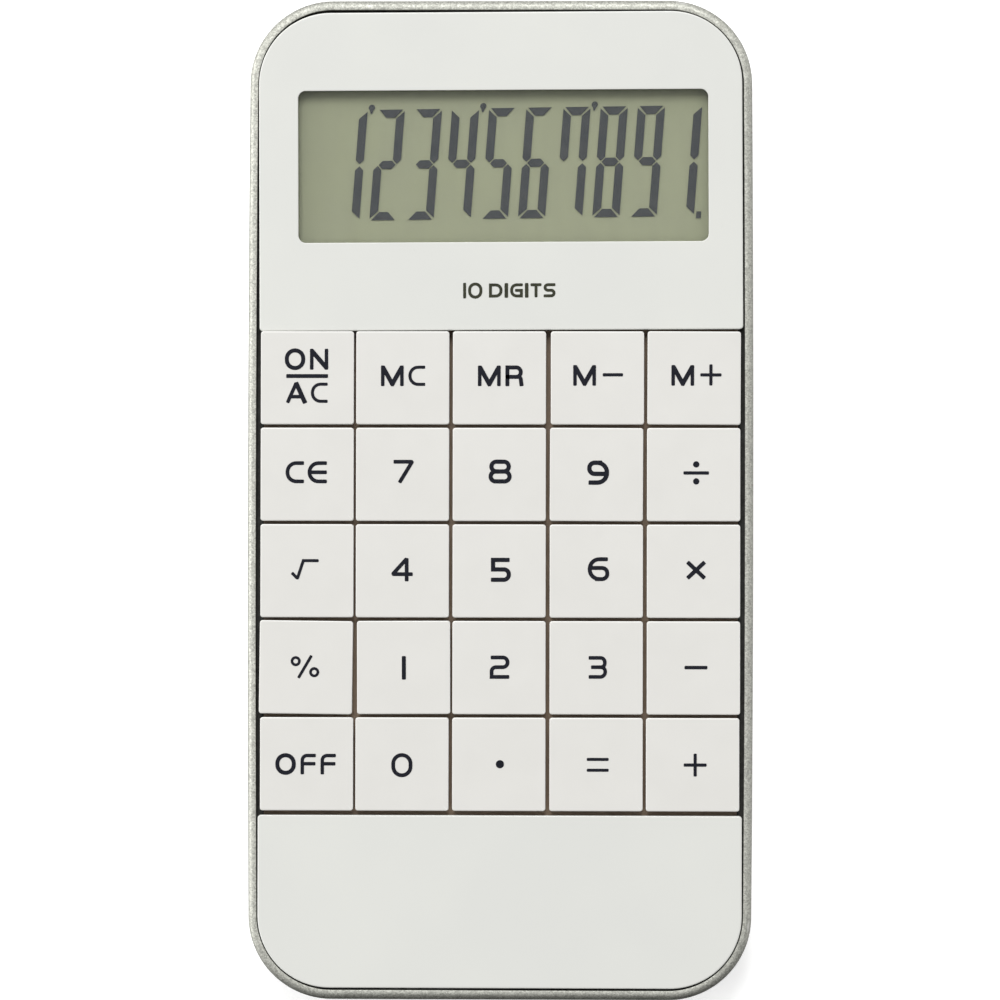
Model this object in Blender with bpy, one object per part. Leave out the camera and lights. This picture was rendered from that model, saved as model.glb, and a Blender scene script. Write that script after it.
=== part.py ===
"""Pocket calculator with ten-digit display and twenty-five keys, as separate pieces.

It lies face up on its back: X across, Y along with the display at +Y, Z up, and the
origin at the middle of the back. Dimensions below are in millimetres. The mesh helpers
scale them to metres.
"""

from math import cos, pi, radians, sin

import bmesh
import bpy
from mathutils import Vector

MM = 0.001

# Whole body
BODY_WIDTH = 59.15
BODY_LENGTH = 116.8
BODY_RADIUS = 9.65
CORNER_STEPS = 8
SIDE_BOW = 0.27
SIDE_STEPS = 6
REAR_RIM_Z = 3.9
PARTING_GAP = 0.2
RIM_TOP_Z = 8.65
RIM_SIDE = 0.98
RIM_END = 1.1
RIM_ROUND = 0.8
BACK_ROUND = 1.6
ROUND_STEPS = 3
WALL = 1.4
FLOOR_TOP = 1.2
LIP_OUTSIDE = 1.6
LIP_INSIDE = 2.2
LIP_TOP = 4.8

# Deck of the front housing, under the keys and the panels
DECK_BOTTOM = 5.8
DECK_TOP = 6.6

# Keys
PITCH_X = 11.28
PITCH_Y = 11.28
GRID_COLUMNS = 5
FIRST_ROW_Y = 14.2
KEY_WIDTH = 10.85
KEY_LENGTH = 10.86
KEY_TOP = 9.0
KEY_BOTTOM = 7.6
KEY_CORNER = 0.45
KEY_EDGE = 0.2
KEY_CORNER_STEPS = 2
STEM_HALF = 1.8
STEM_BOTTOM = 5.15
HOOK_TOP = 5.5
HOOK_HALF_X = 2.4
HOOK_HALF_Y = 2.0
STEM_HOLE = 4.2
KEY_NAMES = (
    ("on_ac", "mc", "mr", "m_minus", "m_plus"),
    ("ce", "7", "8", "9", "divide"),
    ("root", "4", "5", "6", "multiply"),
    ("percent", "1", "2", "3", "minus"),
    ("off", "0", "point", "equals", "plus"),
)
# How far each column, and a few single keys, sit off the even grid: the keys have play.
COLUMN_PLAY = (0.0, -0.12, -0.09, -0.02, 0.04)
KEY_PLAY = {"percent": -0.1, "1": 0.17, "m_minus": 0.1, "m_plus": 0.04, "plus": -0.08}
KEY_TURN = {"percent": -0.6, "1": 0.2, "m_plus": -0.2, "9": -0.2}

# Panels of the face
PANEL_BOTTOM = 6.8
PANEL_TOP = 8.8
PANEL_EDGE = 0.25
PANEL_HALF_WIDTH = 28.27
PANEL_END_GAP = 0.22
PANEL_TO_KEYS = 0.13
LOWER_PANEL_TO_KEYS = 0.53
PANEL_KEY_CORNER = 0.4

# Display. The panel with its window, and the LCD behind it, each sit a hair off square.
PANEL_TURN = 0.28
LCD_TURN = 0.8
WINDOW_CENTRE = (0.3, 39.0)
WINDOW_WIDTH = 48.0
WINDOW_HEIGHT = 17.8
WINDOW_CORNER = 0.9
WINDOW_LIP_Z = 8.3
REBATE_CLEARANCE = 0.5
LENS_WIDTH = 52.0
LENS_HEIGHT = 21.4
LENS_CORNER = 0.8
LENS_BOTTOM = 7.5
LENS_TOP = 8.1
LCD_WIDTH = 51.6
LCD_BOTTOM = 5.8
LCD_STEP = 6.5
LCD_TOP = 7.2
LCD_HIGH_Y = 10.7
LCD_LOW_Y = -12.7
LCD_LEDGE = 3.0
GLASS_INSET = 0.3
GLASS_CORNER = 0.2
LCD_CLEARANCE = 0.35
FILM_BOTTOM = 5.4
FILM_TOP = 5.6
FILM_INSET = 0.4
CONNECTOR_LENGTH = 47.0
CONNECTOR_WIDTH = 2.0
CONNECTOR_FROM_EDGE = 1.3
CONNECTOR_TOP = 6.3

# Circuit board and keypad mat
BOARD_BOTTOM = 2.6
BOARD_TOP = 3.4
BOARD_HALF_WIDTH = 26.4
BOARD_LOW_Y = -35.6
BOARD_HIGH_Y = 49.0
SHEET_CORNER = 1.5
MAT_HALF_WIDTH = 26.8
MAT_BOTTOM = 3.6
MAT_SHEET_TOP = 4.1
MAT_LOW_Y = -34.4
MAT_HIGH_Y = 20.6
DOME_TOP = 4.9
DOME_SIDES = 10
DOME_FOOT_RADIUS = 2.7
DOME_TOP_RADIUS = 1.9
DOME_WALL = 0.6
DOME_HOLLOW_TOP = 4.4

# Parts under the board
PARTS_BOTTOM = 1.5
PARTS_GAP = 0.25
CHIP_CENTRE = (6.0, 36.0)
CHIP_TIP_RADIUS = 2.6
CHIP_SHOULDER_RADIUS = 4.4
CHIP_RADIUS = 4.8
CHIP_SHOULDER = 0.3
CHIP_SIDES = 20
CAPACITOR_XS = (-9.0, -14.0)
CAPACITOR_WIDTH = 1.8
CAPACITOR_LOW_Y = 34.0
CAPACITOR_HIGH_Y = 37.2

# Screws: centres, and profiles as (radius, height) pairs from the head to the tip
CASE_SCREWS = ((-22.0, 52.6), (22.0, 52.6), (-21.5, -51.8), (21.5, -51.8))
BOARD_SCREWS = ((-16.9, 8.6), (16.9, 8.6), (-16.9, -25.3), (16.9, -25.3))
CASE_SCREW = ((1.3, 0.45), (1.5, 0.6), (1.5, 1.1), (0.75, 1.11), (0.75, 5.5), (0.3, 5.95))
BOARD_SCREW = ((1.2, 1.5), (1.5, 1.7), (1.5, 2.3), (0.6, 2.31), (0.6, 5.5), (0.25, 5.9))
SCREW_SIDES = 12
CASE_POST_RADIUS = 2.5
CASE_POST_TOP = 3.8
CASE_BOSS_RADIUS = 2.1
CASE_BOSS_BOTTOM = 4.1
BOARD_BOSS_RADIUS = 1.7
BOARD_BOSS_BOTTOM = 3.7
CASE_PILOT_RADIUS = 1.05
BOARD_PILOT_RADIUS = 0.9
BOARD_HOLE_RADIUS = 1.0
PILOT_TOP = 6.25
HEAD_RECESS_RADIUS = 1.85
HEAD_RECESS_TOP = 1.4
MAT_HOLE_CLEARANCE = 0.4

# Ribs on the floor of the rear housing
RIB_X = 22.0
RIB_THICKNESS = 0.8
RIB_LENGTH = 14.0
RIB_TOP = 2.3
RIB_MIDDLES = (-14.0, 24.0)

# Battery bay in the back
BATTERY_CENTRE_Y = -46.2
BATTERY_RADIUS = 5.8
BATTERY_BOTTOM = 1.5
BATTERY_TOP = 4.55
BATTERY_SIDES = 28
DOOR_HALF_WIDTH = 7.0
DOOR_HINGE_Y = -39.0
DOOR_END_Y = -53.9
DOOR_THICKNESS = 1.0
DOOR_HINGE_Z = 0.65
DOOR_GAP = 0.3
DOOR_EDGE_STEPS = 6
DOOR_HOOK = ((-1.3, 0.2), (-0.3, 0.2), (-0.3, 0.85), (1.5, 0.85), (1.5, 1.35), (-1.3, 1.35))
DOOR_HOOK_WIDTH = 2.5
DOOR_HOOK_XS = (-6.0, 3.5)
NOTCH_HALF_WIDTH = 3.0
NOTCH_FROM_END = (1.6, 3.4)
NOTCH_DEPTH = 0.35
BAY_WALL = 0.9
BAY_WALL_GAP = 0.2
BAY_TOP = 4.6
CONTACT_THICKNESS = 0.2
CONTACT_GAP = 0.3
CONTACT_ON_BOARD = 1.0
SIDE_CONTACT_X = (-3.0, 1.2)
SIDE_CONTACT_BOTTOM = 2.0
TOP_CONTACT_X = (1.8, 4.6)
TOP_CONTACT_RISER = 1.7

# Added shapes run this far into the piece they join; cutters run this far past it
OVERLAP = 0.3
CUT_PAST = 0.8

COLOURS = {
    "silver_paint": ((0.62, 0.62, 0.58), 0.35, 0.8),
    "white_panel": ((0.82, 0.83, 0.80), 0.18, 0.0),
    "white_key": ((0.84, 0.84, 0.81), 0.3, 0.0),
    "white_back": ((0.8, 0.8, 0.78), 0.4, 0.0),
    "clear_window": ((0.9, 0.92, 0.9), 0.05, 0.0),
    "lcd_glass": ((0.45, 0.48, 0.36), 0.1, 0.0),
    "lcd_film": ((0.5, 0.53, 0.4), 0.4, 0.2),
    "black_rubber": ((0.04, 0.04, 0.04), 0.7, 0.0),
    "grey_silicone": ((0.45, 0.43, 0.4), 0.6, 0.0),
    "green_board": ((0.04, 0.2, 0.08), 0.4, 0.0),
    "black_resin": ((0.02, 0.02, 0.02), 0.3, 0.0),
    "tan_ceramic": ((0.55, 0.4, 0.22), 0.5, 0.0),
    "cell_steel": ((0.75, 0.75, 0.74), 0.25, 1.0),
    "contact_metal": ((0.8, 0.78, 0.72), 0.3, 1.0),
    "screw_steel": ((0.5, 0.5, 0.5), 0.35, 1.0),
}


# ---------------------------------------------------------------- mesh helpers

def rounded_outline(half_x, half_y, radius, steps=CORNER_STEPS, centre=(0.0, 0.0)):
    """Points of a rounded rectangle, anticlockwise from its right-hand side."""
    points = []
    for quarter, (side_x, side_y) in enumerate(((1, 1), (-1, 1), (-1, -1), (1, -1))):
        corner_x = centre[0] + side_x * (half_x - radius)
        corner_y = centre[1] + side_y * (half_y - radius)
        for step in range(steps + 1):
            angle = pi / 2 * (quarter + step / steps)
            points.append((corner_x + radius * cos(angle), corner_y + radius * sin(angle)))
    return points


def circle_outline(radius, sides, centre=(0.0, 0.0)):
    """Points of a circle, anticlockwise."""
    angles = [2 * pi * side / sides for side in range(sides)]
    return [(centre[0] + radius * cos(a), centre[1] + radius * sin(a)) for a in angles]


def at_height(outline, z):
    """An outline's points, lifted to one height."""
    return [(x, y, z) for x, y in outline]


def add_loft(mesh, rings):
    """Add a closed solid that runs through rings of equally many points."""
    loops = [[mesh.verts.new(Vector(point) * MM) for point in ring] for ring in rings]
    mesh.faces.new(reversed(loops[0]))
    for low, high in zip(loops, loops[1:]):
        for index in range(len(low)):
            mesh.faces.new((low[index - 1], low[index], high[index], high[index - 1]))
    mesh.faces.new(loops[-1])


def add_prism(mesh, outline, low_z, high_z):
    """Add an upright solid with one outline."""
    add_loft(mesh, [at_height(outline, low_z), at_height(outline, high_z)])


def add_box(mesh, low, high):
    """Add a box between two corners."""
    outline = [(high[0], low[1]), (high[0], high[1]), (low[0], high[1]), (low[0], low[1])]
    add_prism(mesh, outline, low[2], high[2])


def add_turned(mesh, centre, profile, sides):
    """Add a turned solid from (radius, height) pairs, bottom to top."""
    add_loft(mesh, [at_height(circle_outline(r, sides, centre), z) for r, z in profile])


def add_post(mesh, centre, radius, low_z, high_z):
    """Add an upright round post."""
    add_turned(mesh, centre, [(radius, low_z), (radius, high_z)], SCREW_SIDES)


def add_side_profile(mesh, outline_yz, low_x, high_x):
    """Add a solid whose outline, anticlockwise seen from +X, lies in the YZ plane."""
    add_loft(mesh, [[(x, y, z) for y, z in outline_yz] for x in (low_x, high_x)])


# -------------------------------------------------------------- object helpers

def clear_scene():
    """Remove every object that is already in the scene."""
    for existing in list(bpy.data.objects):
        bpy.data.objects.remove(existing, do_unlink=True)


def make_material(slot):
    """Make, or find, the material of one slot."""
    if slot in bpy.data.materials:
        return bpy.data.materials[slot]
    colour, roughness, metallic = COLOURS[slot]
    material = bpy.data.materials.new(slot)
    material.use_nodes = True
    shader = material.node_tree.nodes["Principled BSDF"]
    shader.inputs["Base Color"].default_value = (*colour, 1.0)
    shader.inputs["Roughness"].default_value = roughness
    shader.inputs["Metallic"].default_value = metallic
    return material


def make_object(name, mesh, slot=None, parent=None, smooth=False):
    """Turn a bmesh into an object of the scene."""
    data = bpy.data.meshes.new(name)
    mesh.to_mesh(data)
    mesh.free()
    if smooth:
        data.shade_smooth()
        data.set_sharp_from_angle(angle=radians(35))
    if slot:
        data.materials.append(make_material(slot))
    piece = bpy.data.objects.new(name, data)
    piece.parent = parent
    bpy.context.scene.collection.objects.link(piece)
    return piece


def combine(target, name, mesh, operation, parent=None):
    """Join a mesh to a piece (UNION) or cut it from the piece (DIFFERENCE)."""
    tool = make_object(name, mesh, parent=parent)
    tool.display_type = "WIRE"
    tool.hide_render = True
    modifier = target.modifiers.new(name, "BOOLEAN")
    modifier.operation = operation
    modifier.object = tool


def make_empty(name, location, turn=0.0):
    """Make an empty that carries pieces."""
    empty = bpy.data.objects.new(name, None)
    empty.location = Vector(location) * MM
    empty.rotation_euler.z = radians(turn)
    bpy.context.scene.collection.objects.link(empty)
    return empty


# --------------------------------------------------------------------- layout

def column_x(column):
    """Middle of a key column on the even grid."""
    return (column - (GRID_COLUMNS - 1) / 2) * PITCH_X


def row_y(row):
    """Middle of a key row."""
    return FIRST_ROW_Y - row * PITCH_Y


def grid():
    """Yield every key's name and its middle on the even grid."""
    for row, names in enumerate(KEY_NAMES):
        for column, name in enumerate(names):
            yield name, column, column_x(column), row_y(row)


def bowed_outline(side_inset, end_inset):
    """The body's outline drawn in by two insets. Its long sides bow out slightly."""
    half_x = BODY_WIDTH / 2 - side_inset
    half_y = BODY_LENGTH / 2 - end_inset
    radius = BODY_RADIUS - side_inset
    corners = rounded_outline(half_x, half_y, radius)
    per_corner = CORNER_STEPS + 1
    straight = half_y - radius
    heights = [straight * (1 - 2 * step / SIDE_STEPS) for step in range(1, SIDE_STEPS)]
    left = [(-half_x, y) for y in heights]
    right = [(half_x, -y) for y in heights]
    points = corners[:2 * per_corner] + left + corners[2 * per_corner:] + right
    bowed = []
    for x, y in points:
        narrower = SIDE_BOW * (2 * y / BODY_LENGTH) ** 2
        bowed.append((x - narrower if x > 0 else x + narrower, y))
    return bowed


def body_ring(offset, z):
    """The body's outline, drawn in by an offset, at one height."""
    return at_height(bowed_outline(offset, offset), z)


# -------------------------------------------------------------------- housing

def make_front_housing():
    """Rim round the face, side walls, and the deck that the keys pass through."""
    wall_bottom = REAR_RIM_Z + PARTING_GAP
    rings = [body_ring(WALL, DECK_BOTTOM), body_ring(WALL, wall_bottom), body_ring(0, wall_bottom)]
    for step in range(ROUND_STEPS + 1):
        angle = pi / 2 * step / ROUND_STEPS
        offset = RIM_ROUND * (1 - cos(angle))
        rings.append(body_ring(offset, RIM_TOP_Z - RIM_ROUND * (1 - sin(angle))))
    opening = bowed_outline(RIM_SIDE, RIM_END)
    rings.append(at_height(opening, RIM_TOP_Z))
    rings.append(at_height(opening, DECK_TOP))
    mesh = bmesh.new()
    add_loft(mesh, rings)
    housing = make_object("front_housing", mesh, "silver_paint", smooth=True)

    bosses = bmesh.new()
    for centre in CASE_SCREWS:
        add_post(bosses, centre, CASE_BOSS_RADIUS, CASE_BOSS_BOTTOM, DECK_BOTTOM + OVERLAP)
    for centre in BOARD_SCREWS:
        add_post(bosses, centre, BOARD_BOSS_RADIUS, BOARD_BOSS_BOTTOM, DECK_BOTTOM + OVERLAP)
    combine(housing, "front_bosses", bosses, "UNION")

    holes = bmesh.new()
    half = STEM_HOLE / 2
    for _, _, x, y in grid():
        low = (x - half, y - half, DECK_BOTTOM - CUT_PAST)
        add_box(holes, low, (x + half, y + half, DECK_TOP + CUT_PAST))
    for centre in CASE_SCREWS:
        add_post(holes, centre, CASE_PILOT_RADIUS, CASE_BOSS_BOTTOM - CUT_PAST, PILOT_TOP)
    for centre in BOARD_SCREWS:
        add_post(holes, centre, BOARD_PILOT_RADIUS, BOARD_BOSS_BOTTOM - CUT_PAST, PILOT_TOP)
    combine(housing, "front_holes", holes, "DIFFERENCE")


def make_display_opening(lcd_axis):
    """Cut the LCD's opening through the deck, square to the LCD."""
    half_x = LCD_WIDTH / 2 + LCD_CLEARANCE
    opening = bmesh.new()
    low = (-half_x, LCD_LOW_Y - LCD_CLEARANCE, DECK_BOTTOM - CUT_PAST)
    add_box(opening, low, (half_x, LCD_HIGH_Y + LCD_CLEARANCE, DECK_TOP + CUT_PAST))
    housing = bpy.data.objects["front_housing"]
    combine(housing, "display_opening", opening, "DIFFERENCE", parent=lcd_axis)


def make_rear_housing():
    """Tray that closes the back, with a lip that locates the front housing."""
    rings = [
        body_ring(LIP_INSIDE, FLOOR_TOP), body_ring(LIP_INSIDE, LIP_TOP),
        body_ring(LIP_OUTSIDE, LIP_TOP), body_ring(LIP_OUTSIDE, REAR_RIM_Z),
        body_ring(0, REAR_RIM_Z),
    ]
    for step in range(ROUND_STEPS + 1):
        angle = pi / 2 * step / ROUND_STEPS
        offset = BACK_ROUND * (1 - cos(angle))
        rings.append(body_ring(offset, BACK_ROUND * (1 - sin(angle))))
    rings = [list(reversed(ring)) for ring in rings]
    mesh = bmesh.new()
    add_loft(mesh, rings)
    housing = make_object("rear_housing", mesh, "white_back", smooth=True)

    inside = bmesh.new()
    for centre in CASE_SCREWS:
        add_post(inside, centre, CASE_POST_RADIUS, FLOOR_TOP - OVERLAP, CASE_POST_TOP)
    bay_x = DOOR_HALF_WIDTH + DOOR_GAP + BAY_WALL_GAP
    bay_y = DOOR_END_Y - DOOR_GAP - BAY_WALL_GAP
    bay_wall = [
        (bay_x + BAY_WALL, bay_y - BAY_WALL), (bay_x + BAY_WALL, DOOR_HINGE_Y),
        (bay_x, DOOR_HINGE_Y), (bay_x, bay_y), (-bay_x, bay_y), (-bay_x, DOOR_HINGE_Y),
        (-bay_x - BAY_WALL, DOOR_HINGE_Y), (-bay_x - BAY_WALL, bay_y - BAY_WALL),
    ]
    add_prism(inside, bay_wall, FLOOR_TOP - OVERLAP, BAY_TOP)
    for rib_x in (-RIB_X, RIB_X):
        for middle_y in RIB_MIDDLES:
            low = (rib_x - RIB_THICKNESS / 2, middle_y - RIB_LENGTH / 2, FLOOR_TOP - OVERLAP)
            high = (rib_x + RIB_THICKNESS / 2, middle_y + RIB_LENGTH / 2, RIB_TOP)
            add_box(inside, low, high)
    combine(housing, "rear_inside", inside, "UNION")

    holes = bmesh.new()
    for centre in CASE_SCREWS:
        add_post(holes, centre, HEAD_RECESS_RADIUS, -CUT_PAST, HEAD_RECESS_TOP)
    combine(housing, "head_recesses", holes, "DIFFERENCE")

    holes = bmesh.new()
    for centre in CASE_SCREWS:
        add_post(holes, centre, CASE_PILOT_RADIUS, -CUT_PAST, CASE_POST_TOP + CUT_PAST)
    door_x = DOOR_HALF_WIDTH + DOOR_GAP
    hinge_edge = DOOR_HINGE_Y + DOOR_THICKNESS / 2 + DOOR_GAP
    low = (-door_x, DOOR_END_Y - DOOR_GAP, -CUT_PAST)
    add_box(holes, low, (door_x, hinge_edge, FLOOR_TOP + CUT_PAST / 2))
    combine(housing, "rear_holes", holes, "DIFFERENCE")


# --------------------------------------------------------------- keys and mat

def make_key_mesh():
    """Mesh of one key: square cap with a softened edge, stem and snap hooks."""
    half_x = KEY_WIDTH / 2
    half_y = KEY_LENGTH / 2

    def ring(x, y, z, radius=KEY_CORNER):
        outline = rounded_outline(x, y, radius, KEY_CORNER_STEPS)
        return at_height(outline, z - KEY_TOP)

    mesh = bmesh.new()
    add_loft(mesh, [
        ring(STEM_HALF + 0.15, STEM_HALF, STEM_BOTTOM),
        ring(HOOK_HALF_X, HOOK_HALF_Y, HOOK_TOP),
        ring(STEM_HALF, STEM_HALF, HOOK_TOP),
        ring(STEM_HALF, STEM_HALF, KEY_BOTTOM),
        ring(half_x, half_y, KEY_BOTTOM),
        ring(half_x, half_y, KEY_TOP - KEY_EDGE),
        ring(half_x - KEY_EDGE, half_y - KEY_EDGE, KEY_TOP, KEY_CORNER - KEY_EDGE / 2),
    ])
    return mesh


def make_keys():
    """Twenty-five keys. Each has its origin in the middle of its top, on its slide axis."""
    shared = None
    for name, column, x, y in grid():
        if shared is None:
            key = make_object("key_" + name, make_key_mesh(), "white_key")
            shared = key.data
            shared.name = "key"
        else:
            key = bpy.data.objects.new("key_" + name, shared)
            bpy.context.scene.collection.objects.link(key)
        play = COLUMN_PLAY[column] + KEY_PLAY.get(name, 0.0)
        key.location = Vector((x + play, y, KEY_TOP)) * MM
        key.rotation_euler.z = radians(KEY_TURN.get(name, 0.0))


def make_keypad_mat():
    """Silicone sheet with a hollow dome under every key."""
    half_y = (MAT_HIGH_Y - MAT_LOW_Y) / 2
    middle = (0.0, (MAT_HIGH_Y + MAT_LOW_Y) / 2)
    sheet = bmesh.new()
    outline = rounded_outline(MAT_HALF_WIDTH, half_y, SHEET_CORNER, 2, middle)
    add_prism(sheet, outline, MAT_BOTTOM, MAT_SHEET_TOP)
    mat = make_object("keypad_mat", sheet, "grey_silicone")

    domes = bmesh.new()
    hollows = bmesh.new()
    for _, _, x, y in grid():
        profile = [(DOME_FOOT_RADIUS, MAT_SHEET_TOP - OVERLAP), (DOME_FOOT_RADIUS, MAT_SHEET_TOP)]
        profile.append((DOME_TOP_RADIUS, DOME_TOP))
        add_turned(domes, (x, y), profile, DOME_SIDES)
        hollow = [(DOME_FOOT_RADIUS - DOME_WALL, MAT_BOTTOM - OVERLAP)]
        hollow.append((DOME_TOP_RADIUS - DOME_WALL, DOME_HOLLOW_TOP))
        add_turned(hollows, (x, y), hollow, DOME_SIDES)
    for centre in BOARD_SCREWS:
        hole_radius = BOARD_BOSS_RADIUS + MAT_HOLE_CLEARANCE
        add_post(hollows, centre, hole_radius, MAT_BOTTOM - CUT_PAST, MAT_SHEET_TOP + CUT_PAST)
    combine(mat, "mat_domes", domes, "UNION")
    combine(mat, "mat_hollows", hollows, "DIFFERENCE")


# --------------------------------------------------------- panels and display

def panel_rings(low_y, high_y, top_round, bottom_round, centre):
    """Rings of a face panel: big corners where it meets the rim, small ones at the keys."""
    half_x = PANEL_HALF_WIDTH

    def outline(inset):
        points = []
        corners = ((1, 1, top_round), (-1, 1, top_round), (-1, -1, bottom_round), (1, -1, bottom_round))
        for quarter, (side_x, side_y, radius) in enumerate(corners):
            edge_y = high_y if side_y > 0 else low_y
            corner_x = side_x * (half_x - radius)
            corner_y = edge_y - side_y * radius
            for step in range(CORNER_STEPS + 1):
                angle = pi / 2 * (quarter + step / CORNER_STEPS)
                x = corner_x + (radius - inset) * cos(angle)
                y = corner_y + (radius - inset) * sin(angle)
                points.append((x - centre[0], y - centre[1]))
        return points

    return [
        at_height(outline(0), PANEL_BOTTOM),
        at_height(outline(0), PANEL_TOP - PANEL_EDGE),
        at_height(outline(PANEL_EDGE), PANEL_TOP),
    ]


def make_panels(panel_axis):
    """The white panel round the display and the blank panel below the keys."""
    rim_round = BODY_RADIUS - RIM_SIDE - PANEL_END_GAP
    end_y = BODY_LENGTH / 2 - RIM_END - PANEL_END_GAP
    keys_top = FIRST_ROW_Y + KEY_LENGTH / 2
    keys_bottom = row_y(len(KEY_NAMES) - 1) - KEY_LENGTH / 2

    lower = bmesh.new()
    high_y = keys_bottom - LOWER_PANEL_TO_KEYS
    add_loft(lower, panel_rings(-end_y, high_y, PANEL_KEY_CORNER, rim_round, (0, 0)))
    make_object("lower_panel", lower, "white_panel", smooth=True)

    upper = bmesh.new()
    low_y = keys_top + PANEL_TO_KEYS
    add_loft(upper, panel_rings(low_y, end_y, rim_round, PANEL_KEY_CORNER, WINDOW_CENTRE))
    panel = make_object("display_panel", upper, "white_panel", parent=panel_axis, smooth=True)

    window = bmesh.new()
    half_x = WINDOW_WIDTH / 2
    half_y = WINDOW_HEIGHT / 2
    outline = rounded_outline(half_x, half_y, WINDOW_CORNER, 4)
    add_prism(window, outline, PANEL_BOTTOM - CUT_PAST, PANEL_TOP + CUT_PAST)
    combine(panel, "window_cut", window, "DIFFERENCE", parent=panel_axis)

    rebate = bmesh.new()
    half_x = LCD_WIDTH / 2 + REBATE_CLEARANCE
    low = (-half_x, LCD_LOW_Y - REBATE_CLEARANCE, PANEL_BOTTOM - CUT_PAST)
    add_box(rebate, low, (half_x, LENS_HEIGHT / 2 + REBATE_CLEARANCE, WINDOW_LIP_Z))
    combine(panel, "rebate_cut", rebate, "DIFFERENCE", parent=panel_axis)


def make_display(panel_axis, lcd_axis):
    """Lens, LCD cell, reflective film and the connector under the LCD's ledge."""
    lens = bmesh.new()
    outline = rounded_outline(LENS_WIDTH / 2, LENS_HEIGHT / 2, LENS_CORNER, 2)
    add_prism(lens, outline, LENS_BOTTOM, LENS_TOP)
    make_object("display_lens", lens, "clear_window", parent=panel_axis)

    half_x = LCD_WIDTH / 2
    middle_y = (LCD_HIGH_Y + LCD_LOW_Y) / 2
    half_y = (LCD_HIGH_Y - LCD_LOW_Y) / 2
    back_low = LCD_LOW_Y + LCD_LEDGE
    back_high = LCD_HIGH_Y - GLASS_INSET
    back_centre = (0.0, (back_low + back_high) / 2)
    back_half_y = (back_high - back_low) / 2
    back = rounded_outline(half_x - GLASS_INSET, back_half_y, GLASS_CORNER, 1, back_centre)
    front = rounded_outline(half_x, half_y, GLASS_CORNER, 1, (0.0, middle_y))
    cell = bmesh.new()
    add_loft(cell, [
        at_height(back, LCD_BOTTOM), at_height(back, LCD_STEP),
        at_height(front, LCD_STEP), at_height(front, LCD_TOP),
    ])
    make_object("lcd_cell", cell, "lcd_glass", parent=lcd_axis)

    film = bmesh.new()
    film_x = half_x - GLASS_INSET - FILM_INSET
    low = (-film_x, back_low + FILM_INSET, FILM_BOTTOM)
    add_box(film, low, (film_x, back_high - FILM_INSET, FILM_TOP))
    make_object("lcd_reflector", film, "lcd_film", parent=lcd_axis)

    strip = bmesh.new()
    strip_y = LCD_LOW_Y + CONNECTOR_FROM_EDGE
    low = (-CONNECTOR_LENGTH / 2, strip_y - CONNECTOR_WIDTH / 2, MAT_BOTTOM)
    high = (CONNECTOR_LENGTH / 2, strip_y + CONNECTOR_WIDTH / 2, CONNECTOR_TOP)
    add_box(strip, low, high)
    make_object("lcd_connector", strip, "black_rubber", parent=lcd_axis)


# ---------------------------------------------------------------- electronics

def make_board():
    """Circuit board with its screw holes, the chip's resin cap and two capacitors."""
    half_y = (BOARD_HIGH_Y - BOARD_LOW_Y) / 2
    middle = (0.0, (BOARD_HIGH_Y + BOARD_LOW_Y) / 2)
    board_mesh = bmesh.new()
    outline = rounded_outline(BOARD_HALF_WIDTH, half_y, SHEET_CORNER, 2, middle)
    add_prism(board_mesh, outline, BOARD_BOTTOM, BOARD_TOP)
    board = make_object("circuit_board", board_mesh, "green_board")
    holes = bmesh.new()
    for centre in BOARD_SCREWS:
        add_post(holes, centre, BOARD_HOLE_RADIUS, BOARD_BOTTOM - CUT_PAST, BOARD_TOP + CUT_PAST)
    combine(board, "board_holes", holes, "DIFFERENCE")

    parts_top = BOARD_BOTTOM - PARTS_GAP
    cap_profile = [
        (CHIP_TIP_RADIUS, PARTS_BOTTOM), (CHIP_SHOULDER_RADIUS, PARTS_BOTTOM + CHIP_SHOULDER),
        (CHIP_RADIUS, parts_top),
    ]
    cap = bmesh.new()
    add_turned(cap, CHIP_CENTRE, cap_profile, CHIP_SIDES)
    make_object("chip_cap", cap, "black_resin", smooth=True)
    for number, x in enumerate(CAPACITOR_XS, start=1):
        low = (x - CAPACITOR_WIDTH / 2, CAPACITOR_LOW_Y, PARTS_BOTTOM)
        mesh = bmesh.new()
        add_box(mesh, low, (x + CAPACITOR_WIDTH / 2, CAPACITOR_HIGH_Y, parts_top))
        make_object("capacitor_%d" % number, mesh, "tan_ceramic")


def make_screws():
    """Four screws from the back into the front housing, and four that hold the board."""
    sets = (("case_screw", CASE_SCREWS, CASE_SCREW), ("board_screw", BOARD_SCREWS, BOARD_SCREW))
    for name, centres, profile in sets:
        for number, centre in enumerate(centres, start=1):
            mesh = bmesh.new()
            add_turned(mesh, centre, profile, SCREW_SIDES)
            make_object("%s_%d" % (name, number), mesh, "screw_steel", smooth=True)


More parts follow.
